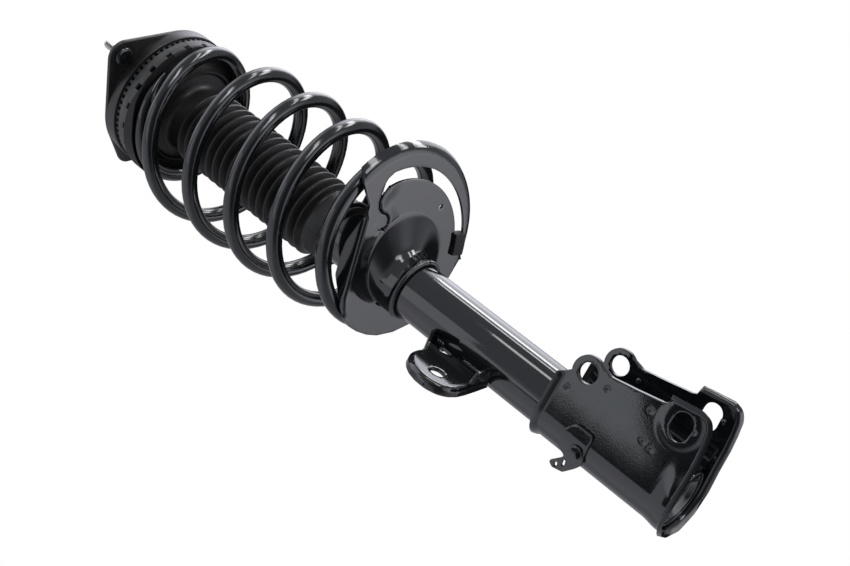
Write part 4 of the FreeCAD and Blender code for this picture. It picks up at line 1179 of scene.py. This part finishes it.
# Hose strap, wrapped over the clamp and standing off as a slotted tab
STRAP_AZ = -111.0
STRAP_R = 25.6 + 3.4 + 0.3 + 1.1
STRAP_TOP = CLAMP_Z - 30.0
STRAP_WRAP = math.radians(21.0) * STRAP_R
STRAP_LINE = (
    (0, 0), (-7, -0.5), (-11.5, -8.5), (-16, -6.0), (-26.5, 2.8), (-30.2, -2.0), (-27.2, -12.0), (-16, -20.5),
    (-8.5, -25.0), (0, -24.0), (STRAP_WRAP, -24.0), (STRAP_WRAP + 9.3, -24.0), (STRAP_WRAP + 9.3, -6.0),
    (STRAP_WRAP, 0))
STRAP_CORNERS = [2, 4, 3, 6, 3, 3, 3, 6, 3, 3, 2, 5, 8, 4]
STRAP_SLOTS = (
    ((-22.0, -11.2), (-15.0, -11.2), (-15.0, -9.0), (-22.0, -9.0)),
    ((-27.6, -5.2), (-22.2, -5.2), (-22.2, -3.0), (-27.6, -3.0)))


def strap():
    outline = softened(raised(STRAP_TOP, STRAP_LINE), STRAP_CORNERS, 4)
    points, tris = sheet(outline, [softened(raised(STRAP_TOP, slot), 1.0, 3) for slot in STRAP_SLOTS], 1.6)
    shaped = []
    a0 = math.radians(STRAP_AZ)
    for s, z in points:
        if s < 0:
            base = Vector((math.cos(a0), math.sin(a0), 0)) * STRAP_R
            p = base + Vector((-math.sin(a0), math.cos(a0), 0)) * s
        elif s < STRAP_WRAP:
            a = a0 + s / STRAP_R
            p = Vector((math.cos(a), math.sin(a), 0)) * STRAP_R
        else:
            p = Vector((s - STRAP_WRAP, -STRAP_R, 0))
        shaped.append((p.x, p.y, z))
    return pressed("hose_strap", shaped, tris, 2.1, "hose_bracket", 0.45)


strap()


# Flanged hexagon head that holds the strap
def hex_head():
    corner_r = 5.4
    profile = softened([(0, 0), (6.6, 0), (6.6, 1.0), (corner_r, 1.8), (0, 1.8)], [0, 0.3, 0.5, 0.5, 0], 3)
    flange = turned_mesh("strap_bolt", profile, 48)
    work = bmesh.new()
    work.from_mesh(flange)
    rings = []
    for z, size in ((1.2, 1.0), (5.0, 1.0), (5.9, 0.86)):
        corners = [polar(corner_r * size, 60 * k, z) for k in range(6)]
        rings.append([work.verts.new([c * MM for c in corner]) for corner in corners])
    for a, b in zip(rings[:-1], rings[1:]):
        for k in range(6):
            work.faces.new((a[k], a[(k + 1) % 6], b[(k + 1) % 6], b[k]))
    work.faces.new(rings[-1])
    bmesh.ops.recalc_face_normals(work, faces=work.faces)
    work.to_mesh(flange)
    work.free()
    turn = Vector(polar(1, STRAP_AZ)).to_track_quat("Z", "X").to_matrix().to_4x4()
    place = Vector(polar(STRAP_R + 1.15, STRAP_AZ, CLAMP_Z - 47.0)) * MM
    flange.transform(Matrix.Translation(place) @ turn)
    piece = as_piece("strap_bolt", flange, CLAMP_BLACK, "strut_tube", "hose_bracket_bolt", 30)
    return edged(piece, 0.3, 40, 2, 35)


hex_head()


# Weld beads where the seat, the ear and the clamp join the tube
def ring_path(r, z, first=0.0, last=360.0):
    return [polar(r, az, z) for az in np.linspace(first, last, int(abs(last - first) * 1.2))]


weld("weld_seat_neck", ring_path(27.5, -347.4), 2.1, SEAT_BLACK, 0.12)
weld("weld_clamp_top", ring_path(27.0, CLAMP_Z + 0.4, 92, 268), 1.5, CLAMP_BLACK, 0.12)
for name, side in (("near", 3.2), ("far", -3.2)):
    for start, low, high, count in (("weld_link_", 56, 78, 30), ("weld_link_top_", 99, 108, 14)):
        heights = np.linspace(CLAMP_Z + low, CLAMP_Z + high, count)
        path = [link_point(link_root(side), side, z) for z in heights]
        weld(start + name, path, 1.7, CLAMP_BLACK, 0.18)

# The model's own parts that stay get their finish by slot
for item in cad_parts.values():
    for holder in item.material_slots:
        key = holder.material.name.split(".")[0] if holder.material else ""
        holder.material = BY_SLOT.get(key, STEEL)

# Camera fitted to the photograph's view
CAMERA_AT = Vector((0.4059, -0.9405, -0.8624))
LOOK_RIGHT = Vector((0.4284, 0.5626, -0.7071))
LOOK_AHEAD = Vector((-0.3464, 0.8250, 0.4466))
FOCAL_PX, PHOTO_WIDTH, SENSOR = 1339.4, 850, 36.0


def photo_camera():
    data = bpy.data.cameras.new("photo_view")
    data.sensor_width = SENSOR
    data.lens = FOCAL_PX / PHOTO_WIDTH * SENSOR
    data.clip_start, data.clip_end = 0.01, 100.0
    view = bpy.data.objects.new("photo_view", data)
    back = -LOOK_AHEAD.normalized()
    right = (LOOK_RIGHT - back * LOOK_RIGHT.dot(back)).normalized()
    turn = Matrix((right, back.cross(right), back)).transposed().to_4x4()
    view.matrix_world = Matrix.Translation(CAMERA_AT) @ turn
    scene.collection.objects.link(view)
    scene.camera = view


photo_camera()


# Studio: soft strips that only gloss shows, a key box, a lit card, the mirrored room and a pale floor
def soft_box(name, at, aim, wide, tall, level):
    data = bpy.data.lights.new(name, "AREA")
    data.shape = "RECTANGLE"
    data.size, data.size_y = wide, tall
    data.energy = level * math.pi * wide * tall
    lamp = bpy.data.objects.new(name, data)
    away = (Vector(at) - Vector(aim)).normalized()
    upright = Vector((0, 0, 1))
    up = (upright - away * upright.dot(away)).normalized()
    turn = Matrix((up.cross(away), up, away)).transposed().to_4x4()
    lamp.matrix_world = Matrix.Translation(Vector(at)) @ turn
    scene.collection.objects.link(lamp)
    lamp.visible_camera = False
    return lamp


for name, az, height, wide, tall, level in (
        ("strip_thin", 18.0, -0.17, 0.11, 0.96, 8.0),
        ("strip_main", 35.0, -0.17, 0.21, 0.96, 9.0),
        ("strip_low", -17.0, -0.27, 0.19, 0.74, 6.0)):
    soft_box(name, polar(1.3, az, height), (0, 0, height), wide, tall, level).visible_diffuse = False
soft_box("key_box", (0.9, -0.6, 1.1), (0.0, 0.0, -0.42), 1.2, 1.2, 1.2).visible_glossy = False


def staged(name, points, finish):
    """One flat face of the studio, in millimetres"""
    mesh = mesh_of(name, points, [tuple(range(len(points)))])
    mesh.materials.append(finish.material)
    item = bpy.data.objects.new(name, mesh)
    scene.collection.objects.link(item)
    return item


# Lit card that the clamp's flat side mirrors
CARD_Y = -1300
CARD = ((-530, -263), (-434, -182), (-60, 132), (420, 132), (420, 900), (-530, 900))


def plate_card():
    finish = Finish("lit_card")
    glow = finish.blend(finish.noise(3.0, 2.0), shade(1.34, -0.05), shade(1.5, -0.05))
    finish.set(Base_Color=(0, 0, 0, 1), Specular_IOR_Level=0.0, Emission_Color=glow, Emission_Strength=1.0)
    card = staged("plate_card", [(x, CARD_Y, z) for x, z in CARD], finish)
    card.visible_camera = card.visible_diffuse = card.visible_shadow = False


plate_card()

# What gloss mirrors: middle azimuth and elevation, level, and the angles where it is full and where it ends
ROOM_LEVEL = 0.5
MIRRORED = (
    (-135, 10, 0.4, 20, 50), (-75, -50, -0.4, 25, 55), (-111.5, 15, -0.85, 5, 7.5), (100, 0, -0.5, 14, 30),
    (113, -27, -0.45, 8, 22), (98, -51, 0.6, 8, 20), (-40, 68, 1.2, 15, 40), (35, -68, 1.5, 15, 40),
    (50, 28, 2.8, 6, 30), (82, 28, 1.0, 10, 21), (112, 12, -0.4, 10, 20), (-20, -18, 4.4, 7, 14))


def studio_world():
    world = bpy.data.worlds.new("studio")
    scene.world = world
    world.use_nodes = True
    graph = Graph(world.node_tree)
    toward = graph.node("TexCoord", {}, {}, "Generated")
    level = ROOM_LEVEL
    for az, el, gain, full, end in MIRRORED:
        way = Vector(polar(math.cos(math.radians(el)), az, math.sin(math.radians(el))))
        near = graph.node("VectorMath", {"operation": "DOT_PRODUCT"}, {0: toward, 1: way}, "Value")
        level = level + graph.step(near, math.cos(math.radians(end)), math.cos(math.radians(full)), 0.0, gain)
    level = graph.node("Math", {"operation": "MAXIMUM"}, {0: level, 1: 0.02})
    tint = graph.node("CombineColor", {}, {0: level * 0.98, 1: level * 0.985, 2: level * 1.07})
    mirror = graph.node("Background", {}, {"Color": tint})
    fill = graph.node("Background", {}, {"Color": (ROOM_LEVEL, ROOM_LEVEL, ROOM_LEVEL, 1)})
    white = graph.node("Background", {}, {"Color": (1, 1, 1, 1)})
    glossy, through, seen = [
        graph.node("LightPath", {}, {}, "Is %s Ray" % ray) for ray in ("Glossy", "Transmission", "Camera")]
    lit = graph.node("MixShader", {}, {0: glossy + through, 1: fill, 2: mirror})
    shown = graph.node("MixShader", {}, {0: seen, 1: lit, 2: white})
    graph.feed(graph.tree.nodes["World Output"].inputs["Surface"], shown)


studio_world()


def studio_floor():
    finish = Finish("studio_floor")
    cloud = finish.noise(1.5, 3.0)
    finish.set(Base_Color=finish.blend(cloud, shade(0.80), shade(0.84)), Roughness=0.6 + (cloud - 0.5) * 0.1)
    half = 20000
    corners = [(x, y, -1000) for x, y in ((-half, -half), (half, -half), (half, half), (-half, half))]
    staged("studio_floor", corners, finish).visible_glossy = False


studio_floor()
